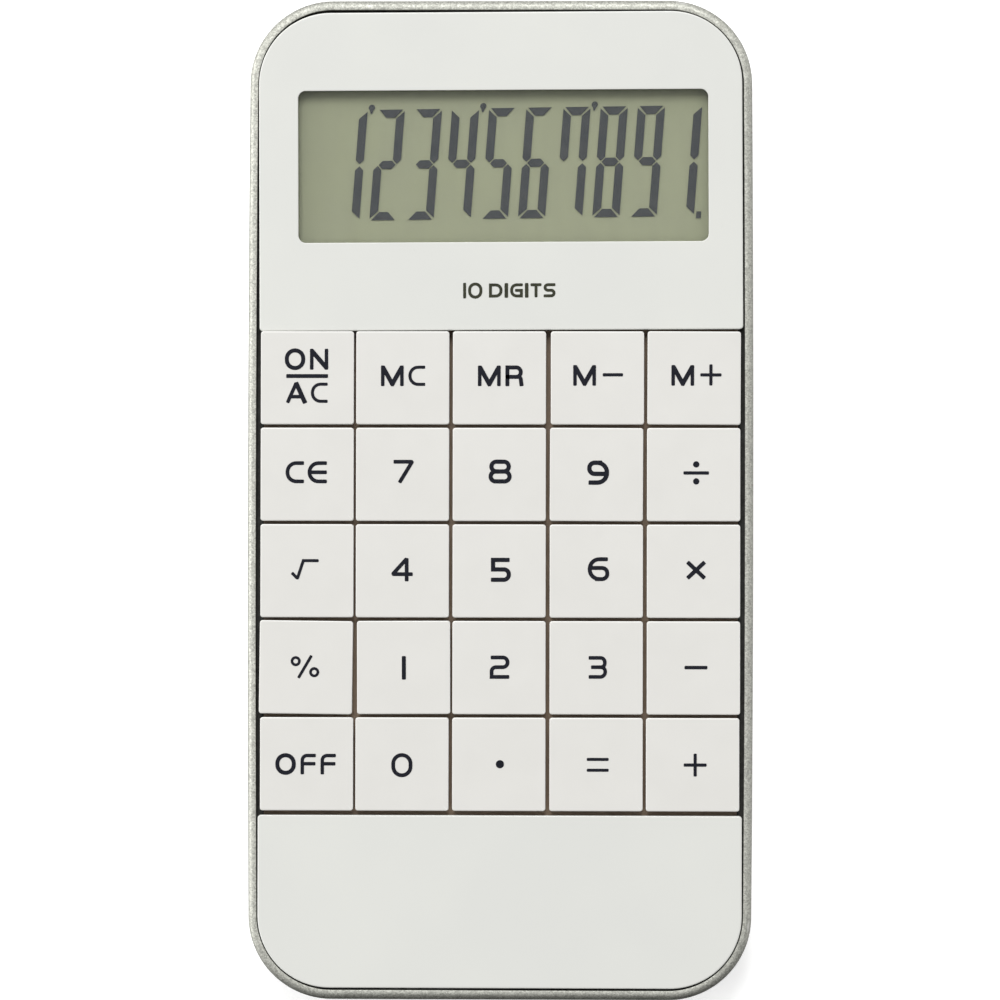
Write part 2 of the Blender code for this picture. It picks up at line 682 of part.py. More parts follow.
def make_battery():
    """Button cell with its two sheet-metal contacts."""
    centre = (0.0, BATTERY_CENTRE_Y)
    can = BATTERY_RADIUS
    profile = [
        (can - 0.3, BATTERY_BOTTOM), (can, BATTERY_BOTTOM + 0.3), (can, BATTERY_TOP - 0.7),
        (can - 0.6, BATTERY_TOP - 0.35), (can - 0.9, BATTERY_TOP - 0.3), (can - 1.0, BATTERY_TOP),
    ]
    mesh = bmesh.new()
    add_turned(mesh, centre, profile, BATTERY_SIDES)
    make_object("battery_cell", mesh, "cell_steel", smooth=True)

    thick = CONTACT_THICKNESS
    foot_y = BOARD_LOW_Y + CONTACT_ON_BOARD
    foot_z = BOARD_TOP + CONTACT_GAP
    leaf_y = BATTERY_CENTRE_Y + BATTERY_RADIUS + CONTACT_GAP
    side_leaf = [
        (leaf_y, SIDE_CONTACT_BOTTOM), (leaf_y + thick, SIDE_CONTACT_BOTTOM),
        (leaf_y + thick, foot_z), (foot_y, foot_z), (foot_y, foot_z + thick),
        (leaf_y, foot_z + thick),
    ]
    mesh = bmesh.new()
    add_side_profile(mesh, side_leaf, *SIDE_CONTACT_X)
    make_object("contact_positive", mesh, "contact_metal")

    over_z = BATTERY_TOP + CONTACT_GAP
    riser_y = DOOR_HINGE_Y + TOP_CONTACT_RISER
    top_leaf = [
        (BATTERY_CENTRE_Y, over_z), (riser_y - thick, over_z), (riser_y - thick, foot_z),
        (foot_y, foot_z), (foot_y, foot_z + thick), (riser_y, foot_z + thick),
        (riser_y, over_z + thick), (BATTERY_CENTRE_Y, over_z + thick),
    ]
    mesh = bmesh.new()
    add_side_profile(mesh, top_leaf, *TOP_CONTACT_X)
    make_object("contact_negative", mesh, "contact_metal")


def make_battery_door():
    """Door in the back. It turns about its round edge, whose axis is the object's origin."""
    half = DOOR_THICKNESS / 2
    end = DOOR_END_Y - DOOR_HINGE_Y
    edge = []
    for step in range(DOOR_EDGE_STEPS + 1):
        angle = -pi / 2 + pi * step / DOOR_EDGE_STEPS
        edge.append((half * cos(angle), half * sin(angle)))
    plate = [(end, half), (end, -half)] + edge
    mesh = bmesh.new()
    add_side_profile(mesh, plate, -DOOR_HALF_WIDTH, DOOR_HALF_WIDTH)
    door = make_object("battery_door", mesh, "white_back", smooth=True)
    door.location = Vector((0.0, DOOR_HINGE_Y, DOOR_HINGE_Z)) * MM

    hooks = bmesh.new()
    for low_x in DOOR_HOOK_XS:
        add_side_profile(hooks, DOOR_HOOK, low_x, low_x + DOOR_HOOK_WIDTH)
    combine(door, "door_hooks", hooks, "UNION", parent=door)

    notch = bmesh.new()
    low_y, high_y = (end + distance for distance in NOTCH_FROM_END)
    low = (-NOTCH_HALF_WIDTH, low_y, -half - CUT_PAST)
    add_box(notch, low, (NOTCH_HALF_WIDTH, high_y, -half + NOTCH_DEPTH))
    combine(door, "door_notch", notch, "DIFFERENCE", parent=door)


def make_calculator():
    """Build every piece."""
    clear_scene()
    panel_axis = make_empty("panel_axis", (*WINDOW_CENTRE, 0.0), PANEL_TURN)
    lcd_axis = make_empty("lcd_axis", (*WINDOW_CENTRE, 0.0), LCD_TURN)
    make_front_housing()
    make_display_opening(lcd_axis)
    make_rear_housing()
    make_keys()
    make_keypad_mat()
    make_panels(panel_axis)
    make_display(panel_axis, lcd_axis)
    make_board()
    make_screws()
    make_battery()
    make_battery_door()


make_calculator()
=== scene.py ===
"""Looks of a pocket calculator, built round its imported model.

The model's frame: X across, Y along with the display at +Y, Z up, origin at the middle of
the back. Lengths are in millimetres here, and the mesh helpers scale them to metres.
"""

from math import atan2, cos, hypot, pi, radians, sin, tan

import bmesh
import bpy
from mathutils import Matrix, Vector


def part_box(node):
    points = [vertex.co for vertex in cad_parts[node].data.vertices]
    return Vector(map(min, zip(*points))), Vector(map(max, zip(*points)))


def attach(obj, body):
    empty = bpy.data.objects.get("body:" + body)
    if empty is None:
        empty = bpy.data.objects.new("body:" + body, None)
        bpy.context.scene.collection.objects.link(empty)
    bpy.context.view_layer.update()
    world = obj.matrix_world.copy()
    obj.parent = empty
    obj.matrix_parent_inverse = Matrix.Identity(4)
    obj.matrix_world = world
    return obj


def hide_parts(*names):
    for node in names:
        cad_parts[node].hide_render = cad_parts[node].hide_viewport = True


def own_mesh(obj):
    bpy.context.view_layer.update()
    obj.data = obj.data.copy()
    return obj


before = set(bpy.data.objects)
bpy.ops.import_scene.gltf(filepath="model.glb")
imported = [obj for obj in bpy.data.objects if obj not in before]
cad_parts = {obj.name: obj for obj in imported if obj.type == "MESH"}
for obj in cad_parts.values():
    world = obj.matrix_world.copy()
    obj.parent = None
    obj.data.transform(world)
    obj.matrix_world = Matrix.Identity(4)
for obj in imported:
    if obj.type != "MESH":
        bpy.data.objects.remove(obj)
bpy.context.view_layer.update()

MM = 0.001
SHARP_ANGLE = 35

# Camera: what it looks at on the face, its turn in degrees, distance and focal length
CAMERA_TARGET = (-0.025, -0.05, 8.0)
CAMERA_TURN = (0.923, 1.762, 0.103)
CAMERA_DISTANCE = 700.0
CAMERA_LENS = 215.5
CAMERA_SENSOR = 36.0
CAMERA_CLIP = (0.05, 20.0)

# Body. The deck and the channel are tucked a little into the rim.
BODY_RADIUS = 9.65
SIDE_BOW = 0.27
SIDE_STEPS = 24
CORNER_STEPS = 28
RIM_SIDE = 0.98
RIM_END = 1.1
RIM_ROUND = 0.8
RIM_INNER_ROUND = 0.05
BACK_ROUND = 1.6
SIDE_FOOT_ROUND = 0.12
SIDE_FOOT_STEPS = 3
WALL = 1.4
DECK_BOTTOM = 5.8
DECK_TOP = 6.6
DECK_TUCK = 0.1
DECK_LIFT = 0.02
DECK_CUT = (5.0, 7.5)
LCD_HOLE_GAP = 0.35
CHANNEL_PROFILE = ((-0.02, 6.55), (-0.02, 8.42), (0.03, 8.4), (0.03, 6.68), (0.8, 6.66),
                   (0.8, 6.55))
FLOOR_TOP = 1.2
LIP_OUTSIDE = 1.6
LIP_INSIDE = 2.2
REAR_RIM = 3.9

# Inside of the rear tray: what is added on its floor starts at INSET_Z, inside the floor
INSET_Z = 0.9
BOSS_RADIUS = 2.5
BOSS_TOP = 3.8
BAY_GAP = 0.5
BAY_WALL = 0.9
BAY_TOP = 4.6
HINGE_Y = -39.0
RIBS_X = (-22.0, 22.0)
RIBS_Y = (-14.0, 24.0)
RIB_HALF_WIDTH = 0.4
RIB_HALF_LENGTH = 7.0
RIB_TOP = 2.3
DOOR_GAP = 0.3
DOOR_HOLE_END_Y = -38.2
DOOR_CUT = (-0.8, 1.6)
SCREW_RECESS = ((2.05, -0.5), (1.95, 0.02), (1.85, 0.12), (1.85, 1.4), (1.05, 1.41), (1.05, 5.0))

# Screws: (radius, height) of the head, then its cross recess as (half length, half width,
# height) at its mouth and at its bottom
SCREW_HEAD = ((0.9, 0.0), (1.25, 0.08), (1.45, 0.25), (1.5, 0.4), (1.5, 0.65))
SCREW_CROSS = ((0.85, 0.15, -0.2), (0.4, 0.1, 0.45))
SHANK_TOP = 0.66
THREAD_START = 0.9
THREAD_END = 0.7
THREAD_PITCH = 0.4
THREAD_DEPTH = 0.13
THREAD_HALF = 0.16
SCREW_TIP = 0.15
CASE_SHANK = 0.75
BOARD_SHANK = 0.6
SCREW_NUMBERS = (1, 2, 3, 4)

# Keys
KEY_ROWS = (
    ("on_ac", "mc", "mr", "m_minus", "m_plus"),
    ("ce", "7", "8", "9", "divide"),
    ("root", "4", "5", "6", "multiply"),
    ("percent", "1", "2", "3", "minus"),
    ("off", "0", "point", "equals", "plus"),
)
KEY_PITCH = 11.28
FIRST_ROW_Y = 14.2
KEY_TURN = {"percent": -0.6, "1": 0.2, "m_plus": -0.2, "9": -0.2}
KEY_HALF_X = 5.44
KEY_HALF_Y = 5.445
KEY_THICK = 1.4
KEY_CORNER = 0.3
KEY_EDGE = 0.11
KEY_UNDER_EDGE = 0.08
STEM_HALF = 1.8
STEM_CORNER = 0.3
STEM_FOOT_WIDER = 0.15
STEM_LENGTH = 3.85
STEM_HOLE = 4.2
HOOK_UP = 3.5
HOOK_HALF_X = 2.4
HOOK_HALF_Y = 2.0

# Panels
PANEL_HALF_X = 28.27
PANEL_END_GAP = 0.255
PANEL_TO_KEYS = 0.155
PANEL_KEY_CORNER = 0.4
PANEL_EDGE = 0.14
PANEL_TURN = 0.28
FLAT_BANDS = (0.12, 0.3, 0.55)
WINDOW_CENTRE = (0.3, 39.0)
WINDOW_HALF = (24.0, 8.9)
WINDOW_CORNER = 0.9
WINDOW_EDGE = 0.06
WINDOW_LIP_Z = 8.3
REBATE_HALF_X = 26.3
REBATE_LOW_Y = -13.2
REBATE_HIGH_Y = 11.2
REBATE_CORNER = 0.3
LENS_HALF = (26.0, 10.7)
LENS_CORNER = 0.8
LENS_EDGE = 0.08
MIN_RADIUS = 0.05

# LCD
LCD_TURN = 0.8
LCD_HALF_X = 25.8
LCD_LOW_Y = -12.7
LCD_HIGH_Y = 10.7
LCD_CORNER = 0.2
LCD_LEDGE = 3.0
LCD_BACK_INSET = 0.3
LCD_CORNER_STEPS = 4
LCD_BACK_TOP = 6.98
LCD_FRONT_BOTTOM = 7.14
SEGMENT_Z = 7.09
SEGMENT_THICK = 0.02
SEGMENT_WIDTH = 0.96
SEGMENT_GAP = 0.17
DIGIT_WIDTH = 3.18
DIGIT_HEIGHT = 12.96
DIGIT_PITCH = 4.357
DIGIT_SLANT = 5.1
DIGIT_LEFT = -20.185
DIGIT_LOW = -6.04
LIT = {
    "1": "bc", "2": "abged", "3": "abgcd", "4": "fgbc", "5": "afgcd",
    "6": "afgecd", "7": "fabc", "8": "abcdefg", "9": "abcdfg",
}
SHOWN = "1234567891"

# Marks before some digits: a drop, (x, y) from the digit's corner to its middle, its radius,
# the arc of its round part in degrees and its tip. Then the point after the last digit.
MARKS_BEFORE = (1, 4, 7)
MARK_MIDDLE = (-0.72, 0.25)
MARK_RADIUS = 0.37
MARK_ARC = (-55, 290, 18)
MARK_TIP = ((-0.1, -0.72), (0.06, -0.72))
POINT_BEFORE = 0.92
POINT_WIDTH = 0.57
POINT_LOW = -0.29
POINT_HIGH = 0.51

# Studio: brightness of the surroundings along each axis, from -1 to 1, and the lamps as
# name, tilt from upright towards +X and +Y in degrees, distance and size in m, watts. The
# sky's colour ramps hold shares of SKY_SCALE, because they end at 1.
SKY_STRENGTH = 0.565
SKY_ACROSS = ((-1.0, 2.6), (-0.5, 1.45), (0.0, 1.0), (1.0, 2.0))
SKY_ALONG = ((-1.0, 0.02), (-0.5, 0.25), (0.0, 1.0), (1.0, 1.6))
SKY_UPWARD = ((-0.3, 0.6), (0.1, 1.0))
SKY_SCALE = 4.0
LAMPS = (
    ("main_softbox", -4.0, 31.0, 1.6, (0.6, 0.68), 13.8),
    ("left_strip", -77.0, 5.0, 1.2, (1.2, 0.2), 8.0),
)
FLOOR_HALF = 3000.0
FLOOR_Z = -0.02
FLOOR_GLOW = 0.4

# Legends
DIGIT_INK = 0.45
LETTER_INK = 0.41
SIGN_INK = 0.38
INK_THICK = 0.02
INK_SUNK = 0.005
INK_STEP = 0.0012
END_ROUND = 0.1
BOLD_SHARE = 1.25
WORD_SPACE = 0.3
LETTER_GAP = 0.55
ARC_STEP = radians(12)
LEGEND_UP = 0.3
LEGEND_PER_COLUMN = 0.1
LEGEND_PER_ROW = 0.08
WORDS_PLACE = (0.67, -14.57)
WORDS_INK = 0.35
WORDS_GAP = 0.236
WORDS_SCALE = 0.65
WORDS_BOLD = {"I": 0.42}

# Mat and its domes: sections are (radius, height) pairs, and DOME_TOP's heights are
# measured from the mat's own top
MAT_TOP = 4.1
MAT_CORNER = 1.5
MAT_CUT = (3.0, 5.0)
DOME_HOLE = 2.4
SCREW_HOLE = 2.1
DOME_FOOT = (2.1, 2.6)
DOME_SIDE = ((2.75, 4.1), (2.62, 4.2), (2.1, 4.72))
DOME_TOP = ((1.95, -0.04), (1.85, 0.0), (0.4, 0.0))
DOME_INSIDE = ((0.3, 4.42), (1.3, 4.4), (1.5, 4.3))

# Button cell: places are (in from the can's side, down from its top), and CELL_FOOT's are
# (in from its side, up from its bottom)
CELL_ROUND = 0.3
CELL_FOOT = ((0.9, 0.05), (0.75, 0.0))
CELL_SHOULDER = (0.3, 0.75)
CELL_CRIMP = (0.6, 0.5)
CELL_SEAL = ((0.95, 0.56), (0.58, 0.56), (0.6, 0.42), (0.9, 0.3))
LID_ROUND = 0.22
LID_FOOT = (0.93, 0.6)
LID_EDGE = (1.15, 0.22)
LID_TOP = (1.6, 0.0)

# Chip's resin cap: powers that make its section blunter than a quarter circle
CHIP_STEPS = 15
CHIP_ACROSS = 0.8
CHIP_UP = 0.9

# Ridges on the battery door: a section as (along, up from the door's outside)
GRIP_RIDGES = 4
GRIP_FIRST_Y = 4.6
GRIP_PITCH = 0.9
GRIP_HALF_X = 3.0
GRIP_SECTION = ((-0.25, 0.05), (-0.12, -0.07), (0.12, -0.07), (0.25, 0.05))

# Softening of the pieces that follow their CAD nodes
WELD = 0.001
BEVEL_SEGMENTS = 3
BEVEL_ANGLE = 40


# ---- mesh helpers

def rounded_outline(half_x, half_y, radius, steps=CORNER_STEPS, centre=(0.0, 0.0)):
    """Points of a rounded rectangle, anticlockwise from its right-hand side."""
    points = []
    for quarter, (side_x, side_y) in enumerate(((1, 1), (-1, 1), (-1, -1), (1, -1))):
        corner_x = centre[0] + side_x * (half_x - radius)
        corner_y = centre[1] + side_y * (half_y - radius)
        for step in range(steps + 1):
            angle = pi / 2 * (quarter + step / steps)
            points.append((corner_x + radius * cos(angle), corner_y + radius * sin(angle)))
    return points


def outline_between(half_x, low_y, high_y, radius, steps=CORNER_STEPS):
    """A rounded rectangle that reaches from one Y to another."""
    middle = (0.0, (high_y + low_y) / 2)
    return rounded_outline(half_x, (high_y - low_y) / 2, radius, steps, middle)


def circle_outline(radius, sides, centre=(0.0, 0.0)):
    """Points of a circle, anticlockwise."""
    angles = [2 * pi * side / sides for side in range(sides)]
    return [(centre[0] + radius * cos(a), centre[1] + radius * sin(a)) for a in angles]


def at_height(outline, z):
    """An outline's points, lifted to one height."""
    return [(x, y, z) for x, y in outline]


def turned_about(points, centre, degrees):
    """Points turned about an upright axis through a centre."""
    c, s = cos(radians(degrees)), sin(radians(degrees))
    out = []
    for point in points:
        dx, dy = point[0] - centre[0], point[1] - centre[1]
        out.append((centre[0] + c * dx - s * dy, centre[1] + s * dx + c * dy, *point[2:]))
    return out


def turned_rings(centre, profile, sides):
    """Rings of a turned solid, from (radius, height) pairs."""
    return [at_height(circle_outline(radius, sides, centre), z) for radius, z in profile]


def add_loft(mesh, rings, wrap=False):
    """Add a closed solid through rings of equally many points: capped, or wrapped round."""
    loops = [[mesh.verts.new(Vector(point) * MM) for point in ring] for ring in rings]
    pairs = list(zip(loops, loops[1:]))
    if wrap:
        pairs.append((loops[-1], loops[0]))
    else:
        mesh.faces.new(reversed(loops[0]))
        mesh.faces.new(loops[-1])
    for low, high in pairs:
        for index in range(len(low)):
            mesh.faces.new((low[index - 1], low[index], high[index], high[index - 1]))


def add_prism(mesh, outline, low_z, high_z):
    """Add an upright solid with one outline."""
    add_loft(mesh, [at_height(outline, low_z), at_height(outline, high_z)])


def add_box(mesh, low, high):
    """Add a box between two corners."""
    outline = [(high[0], low[1]), (high[0], high[1]), (low[0], high[1]), (low[0], low[1])]
    add_prism(mesh, outline, low[2], high[2])


def smooth(data, sharp):
    """Shade a mesh smooth, except across edges sharper than an angle in degrees."""
    data.shade_smooth()
    data.set_sharp_from_angle(angle=radians(sharp))


def mesh_data(name, mesh):
    """Turn a bmesh into mesh data, and free it."""
    data = bpy.data.meshes.new(name)
    mesh.to_mesh(data)
    mesh.free()
    return data


def add_object(name, data):
    """Put a new object in the scene."""
    added = bpy.data.objects.new(name, data)
    bpy.context.scene.collection.objects.link(added)
    return added


def make_piece(name, mesh, material, node=None, body="root", sharp=SHARP_ANGLE):
    """Turn a bmesh into a piece that rides on a body. It may stand for a CAD node."""
    bmesh.ops.recalc_face_normals(mesh, faces=mesh.faces)
    data = mesh_data(name, mesh)
    smooth(data, sharp)
    data.materials.append(material)
    piece = add_object(name, data)
    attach(piece, body)
    if node:
        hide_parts(node)
    return piece


def loft_piece(name, rings, material, node, body="root", wrap=False, sharp=SHARP_ANGLE):
    """Make a piece that is one loft."""
    mesh = bmesh.new()
    add_loft(mesh, rings, wrap)
    return make_piece(name, mesh, material, node, body, sharp)


def keep_result(piece):
    """Keep what a piece's modifiers make of it as plain mesh."""
    graph = bpy.context.evaluated_depsgraph_get()
    result = bpy.data.meshes.new_from_object(piece.evaluated_get(graph))
    piece.modifiers.clear()
    piece.data = result
    smooth(result, SHARP_ANGLE)


def cut(piece, cutter_mesh, operation="DIFFERENCE"):
    """Cut a mesh out of a piece, or join it on, and keep the result as plain mesh."""
    cutter = add_object("cutter", mesh_data("cutter", cutter_mesh))
    modifier = piece.modifiers.new("cut", "BOOLEAN")
    modifier.operation = operation
    modifier.object = cutter
    modifier.solver = "EXACT"
    keep_result(piece)
    bpy.data.objects.remove(cutter)


def corners_mm(node):
    """Lowest and highest corner of a CAD node, in millimetres."""
    low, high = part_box(node)
    return low / MM, high / MM


def place_of(node):
    """Lowest and highest corner of a CAD node, and its middle in plan, in millimetres."""
    low, high = corners_mm(node)
    return low, high, ((low.x + high.x) / 2, (low.y + high.y) / 2)


def key_places():
    """Each key's name, and the middle of its place in the even grid."""
    for row, names in enumerate(KEY_ROWS):
        for column, name in enumerate(names):
            yield name, ((column - 2) * KEY_PITCH, FIRST_ROW_Y - row * KEY_PITCH)


# ---- materials

def feed(tree, node, values):
    """Set a node's inputs: a socket is linked, and anything else is a fixed value."""
    for name, value in values.items():
        if isinstance(value, bpy.types.NodeSocket):
            tree.links.new(value, node.inputs[name])
        else:
            node.inputs[name].default_value = value


def add_node(tree, kind, values):
    """Add a shader node with its inputs set."""
    node = tree.nodes.new("ShaderNode" + kind)
    feed(tree, node, values)
    return node


def new_material(name):
    """An empty node material, its tree, and its one Principled shader."""
    material = bpy.data.materials.new(name)
    material.use_nodes = True
    tree = material.node_tree
    return material, tree, tree.nodes["Principled BSDF"]


def noise(tree, size_mm, detail=3.0, roughness=0.55, stretch=(1, 1, 1), shift=0.0):
    """A noise value whose features are about size_mm across, fixed to the piece."""
    coordinate = add_node(tree, "TexCoord", {})
    mapping = add_node(tree, "Mapping", {
        "Vector": coordinate.outputs["Object"], "Scale": stretch, "Location": (shift,) * 3})
    texture = add_node(tree, "TexNoise", {
        "Vector": mapping.outputs["Vector"], "Scale": 1 / (size_mm * MM),
        "Detail": detail, "Roughness": roughness})
    return texture.outputs["Fac"]


def remap(tree, value, low, high, out_low=0.0, out_high=1.0):
    """A value mapped from one range to another, and kept inside it."""
    node = add_node(tree, "MapRange", {
        "Value": value, "From Min": low, "From Max": high, "To Min": out_low,
        "To Max": out_high})
    return node.outputs["Result"]


def uneven(tree, size_mm, out_low, out_high, detail=3.0):
    """A value that varies between two bounds over about size_mm."""
    return remap(tree, noise(tree, size_mm, detail), 0.3, 0.7, out_low, out_high)


def blend_colours(tree, factor, first, second):
    """Mix of two colours, or of a colour socket and a colour."""
    first, second = [(*c, 1.0) if isinstance(c, tuple) else c for c in (first, second)]
    node = tree.nodes.new("ShaderNodeMix")
    node.data_type = "RGBA"
    feed(tree, node, {"Factor": factor, 6: first, 7: second})
    return node.outputs[2]


def add_bump(tree, shader, height, depth_mm, strength, under=None):
    """Bump from a height value, on top of an earlier bump if there is one."""
    node = add_node(tree, "Bump", {
        "Height": height, "Distance": depth_mm * MM, "Strength": strength})
    if under:
        feed(tree, node, {"Normal": under})
    feed(tree, shader, {"Normal": node.outputs["Normal"]})
    return node.outputs["Normal"]


def edge_mask(tree, low, high):
    """Near 1 on worn outer edges, 0 elsewhere."""
    geometry = add_node(tree, "NewGeometry", {})
    return remap(tree, geometry.outputs["Pointiness"], low, high)


def moulded(name, first, second, roughness, grain_mm, grain_depth, blotch_mm=9.0, shift=0.0,
            specular=0.5, coat=0.0, worn=None):
    """Moulded plastic: faint blotches in the colour, a fine surface grain, uneven gloss."""
    material, tree, shader = new_material(name)
    blotch = remap(tree, noise(tree, blotch_mm, 2.0, 0.5, shift=shift), 0.35, 0.65)
    colour = blend_colours(tree, blotch, first, second)
    speck = remap(tree, noise(tree, 0.35, 4.0, 0.7, shift=shift + 3), 0.66, 0.74, 0.0, 0.25)
    colour = blend_colours(tree, speck, colour, tuple(0.82 * part for part in second))
    if worn:
        colour = blend_colours(tree, edge_mask(tree, 0.53, 0.6), colour, worn)
    gloss = noise(tree, 2.4, 4.0, 0.6, shift=shift + 7)
    feed(tree, shader, {
        "Base Color": colour,
        "Roughness": remap(tree, gloss, 0.3, 0.7, roughness * 0.85, roughness * 1.2),
        "Specular IOR Level": specular, "Coat Weight": coat, "Coat Roughness": 0.12})
    wave = add_bump(tree, shader, noise(tree, 6.0, 1.0, 0.4, shift=shift), 0.012, 0.5)
    grain = noise(tree, grain_mm, 2.0, 0.6, shift=shift + 5)
    add_bump(tree, shader, grain, grain_depth, 0.6, wave)
    return material


def metal(name, first, second, roughness, grain_mm, grain_depth, stretch=(1, 1, 1), worn=None):
    """Bare metal: tarnish blotches, fine scratches and uneven gloss."""
    material, tree, shader = new_material(name)
    colour = blend_colours(tree, remap(tree, noise(tree, 1.6, 4.0, 0.6), 0.35, 0.65), first, second)
    if worn:
        colour = blend_colours(tree, edge_mask(tree, 0.52, 0.58), colour, worn)
    scratch = noise(tree, grain_mm, 3.0, 0.7, stretch)
    feed(tree, shader, {
        "Base Color": colour, "Metallic": 1.0,
        "Roughness": remap(tree, scratch, 0.3, 0.7, roughness * 0.75, roughness * 1.3)})
    add_bump(tree, shader, scratch, grain_depth, 0.6)
    return material


def silver_paint():
    """Metallic paint: flakes that catch the light, an orange-peel skin, paler worn edges."""
    material, tree, shader = new_material("silver_paint")
    coordinate = add_node(tree, "TexCoord", {})
    flakes = add_node(tree, "TexVoronoi", {
        "Vector": coordinate.outputs["Object"], "Scale": 1 / (0.15 * MM)})
    tone = add_node(tree, "SeparateColor", {"Color": flakes.outputs["Color"]})
    colour = blend_colours(tree, tone.outputs[0], (0.30, 0.302, 0.272), (0.59, 0.594, 0.54))
    patch = remap(tree, noise(tree, 0.4, 3.0, 0.7), 0.4, 0.62, 0.0, 0.22)
    colour = blend_colours(tree, patch, colour, (0.5, 0.503, 0.456))
    colour = blend_colours(tree, edge_mask(tree, 0.55, 0.62), colour, (0.62, 0.62, 0.59))
    feed(tree, shader, {
        "Base Color": colour, "Metallic": 0.95,
        "Roughness": uneven(tree, 0.5, 0.54, 0.64)})
    peel = add_bump(tree, shader, noise(tree, 0.9, 2.0), 0.012, 0.4)
    add_bump(tree, shader, tone.outputs[1], 0.012, 0.5, peel)
    return material


def lcd_background():
    """Greenish rear glass over its reflector: faint upright streaks and cloudy blotches."""
    material, tree, shader = new_material("lcd_background")
    streak = remap(tree, noise(tree, 1.4, 3.0, 0.6, (1.0, 0.12, 1.0)), 0.3, 0.7)
    colour = blend_colours(tree, streak, (0.363, 0.369, 0.266), (0.385, 0.392, 0.279))
    cloud = remap(tree, noise(tree, 7.0, 2.0), 0.35, 0.65, 0.0, 0.35)
    colour = blend_colours(tree, cloud, colour, (0.35, 0.353, 0.271))
    feed(tree, shader, {
        "Base Color": colour, "Specular IOR Level": 0.2,
        "Roughness": uneven(tree, 0.6, 0.5, 0.65)})
    add_bump(tree, shader, noise(tree, 0.12, 2.0), 0.004, 0.4)
    return material


def clear_sheet(name, tint, smear_mm, head_on):
    """Clear flat sheet: it mirrors a share of the light, more at a slant, and passes the rest."""
    material, tree, shader = new_material(name)
    feed(tree, shader, {
        "Base Color": (0.9, 0.92, 0.9, 1.0), "Metallic": 1.0,
        "Roughness": remap(tree, noise(tree, smear_mm, 4.0, 0.65), 0.35, 0.7, 0.03, 0.12)})
    add_bump(tree, shader, noise(tree, 9.0, 1.0), 0.01, 0.3)
    clear = add_node(tree, "BsdfTransparent", {"Color": (*tint, 1.0)})
    slant = add_node(tree, "LayerWeight", {"Blend": 0.5})
    fifth = add_node(tree, "Math", {0: slant.outputs["Facing"], 1: 5.0})
    fifth.operation = "POWER"
    mix = add_node(tree, "MixShader", {
        "Fac": remap(tree, fifth.outputs[0], 0.0, 1.0, head_on, 1.0),
        1: clear.outputs["BSDF"], 2: shader.outputs["BSDF"]})
    output = next(node for node in tree.nodes if node.type == "OUTPUT_MATERIAL")
    feed(tree, output, {"Surface": mix.outputs["Shader"]})
    return material


def board_material():
    """Green solder mask over copper tracks."""
    material, tree, shader = new_material("board_mask")
    coordinate = add_node(tree, "TexCoord", {})
    tracks = add_node(tree, "TexBrick", {
        "Vector": coordinate.outputs["Object"], "Scale": 1 / (6.0 * MM), "Mortar Size": 0.045,
        "Mortar Smooth": 0.2})
    copper = tracks.outputs["Fac"]
    mask = remap(tree, noise(tree, 3.0, 3.0), 0.35, 0.65)
    green = blend_colours(tree, mask, (0.015, 0.12, 0.04), (0.02, 0.15, 0.055))
    feed(tree, shader, {
        "Base Color": blend_colours(tree, copper, green, (0.05, 0.24, 0.07)),
        "Roughness": uneven(tree, 0.7, 0.28, 0.42)})
    add_bump(tree, shader, copper, 0.03, 0.6)
    return material


silver = silver_paint()
panel_white = moulded("panel_white", (0.628, 0.633, 0.6), (0.614, 0.619, 0.59),
                      0.2, 0.25, 0.002, 14.0)
key_white = moulded("key_white", (0.63, 0.622, 0.593), (0.619, 0.611, 0.582),
                    0.34, 0.2, 0.004, 6.0, 2.0, worn=(0.72, 0.715, 0.69))
back_white = moulded("back_white", (0.53, 0.53, 0.507), (0.51, 0.51, 0.488),
                     0.42, 0.18, 0.012, 12.0, 4.0)
# Deck seen only in the narrow gaps between keys: its dark brown is painted warm bounced light and
# shade, not the deck's own colour.
deck_painted_bounce = moulded("deck_painted_bounce", (0.34, 0.245, 0.17), (0.29, 0.21, 0.145),
                     0.5, 0.2, 0.01, 3.0, 6.0)
# Near-black sheet in the channel beside the rim: painted shade, not the part's own colour.
channel_painted_shade = moulded("channel_painted_shade", (0.022, 0.022, 0.018), (0.04, 0.04, 0.034),
                       0.6, 0.2, 0.01, 0.5, 15.0)
ink = moulded("legend_ink", (0.005, 0.006, 0.011), (0.008, 0.009, 0.015),
              0.5, 0.12, 0.003, 0.8, 1.0, specular=0.12)
olive_ink = moulded("panel_ink", (0.022, 0.024, 0.012), (0.032, 0.034, 0.018),
                    0.5, 0.12, 0.003, 0.8, 5.0, specular=0.2)
lcd_dark = moulded("lcd_segment", (0.058, 0.061, 0.075), (0.068, 0.07, 0.081),
                   0.5, 0.15, 0.002, 1.6, 8.0, specular=0.15)
lcd_green = lcd_background()
window_clear = clear_sheet("window_clear", (0.97, 0.975, 0.965), 3.0, 0.022)
glass_clear = clear_sheet("glass_clear", (0.985, 0.99, 0.98), 5.0, 0.0032)
silicone = moulded("silicone", (0.42, 0.40, 0.37), (0.37, 0.355, 0.33),
                   0.6, 0.15, 0.008, 4.0, 9.0)
film = moulded("reflector_film", (0.46, 0.49, 0.37), (0.42, 0.45, 0.34),
               0.4, 0.3, 0.004, 5.0, 11.0)
rubber = moulded("rubber", (0.03, 0.03, 0.03), (0.045, 0.045, 0.043),
                 0.7, 0.1, 0.01, 1.2, 12.0)
resin = moulded("resin", (0.012, 0.012, 0.013), (0.02, 0.02, 0.02),
                0.28, 0.5, 0.01, 1.5, 13.0, coat=0.3)
ceramic = moulded("ceramic", (0.50, 0.35, 0.19), (0.43, 0.30, 0.16),
                  0.5, 0.2, 0.006, 0.9, 14.0)
board_green = board_material()
cell_steel = metal("cell_steel", (0.74, 0.74, 0.72), (0.62, 0.62, 0.6), 0.24, 0.25, 0.004)
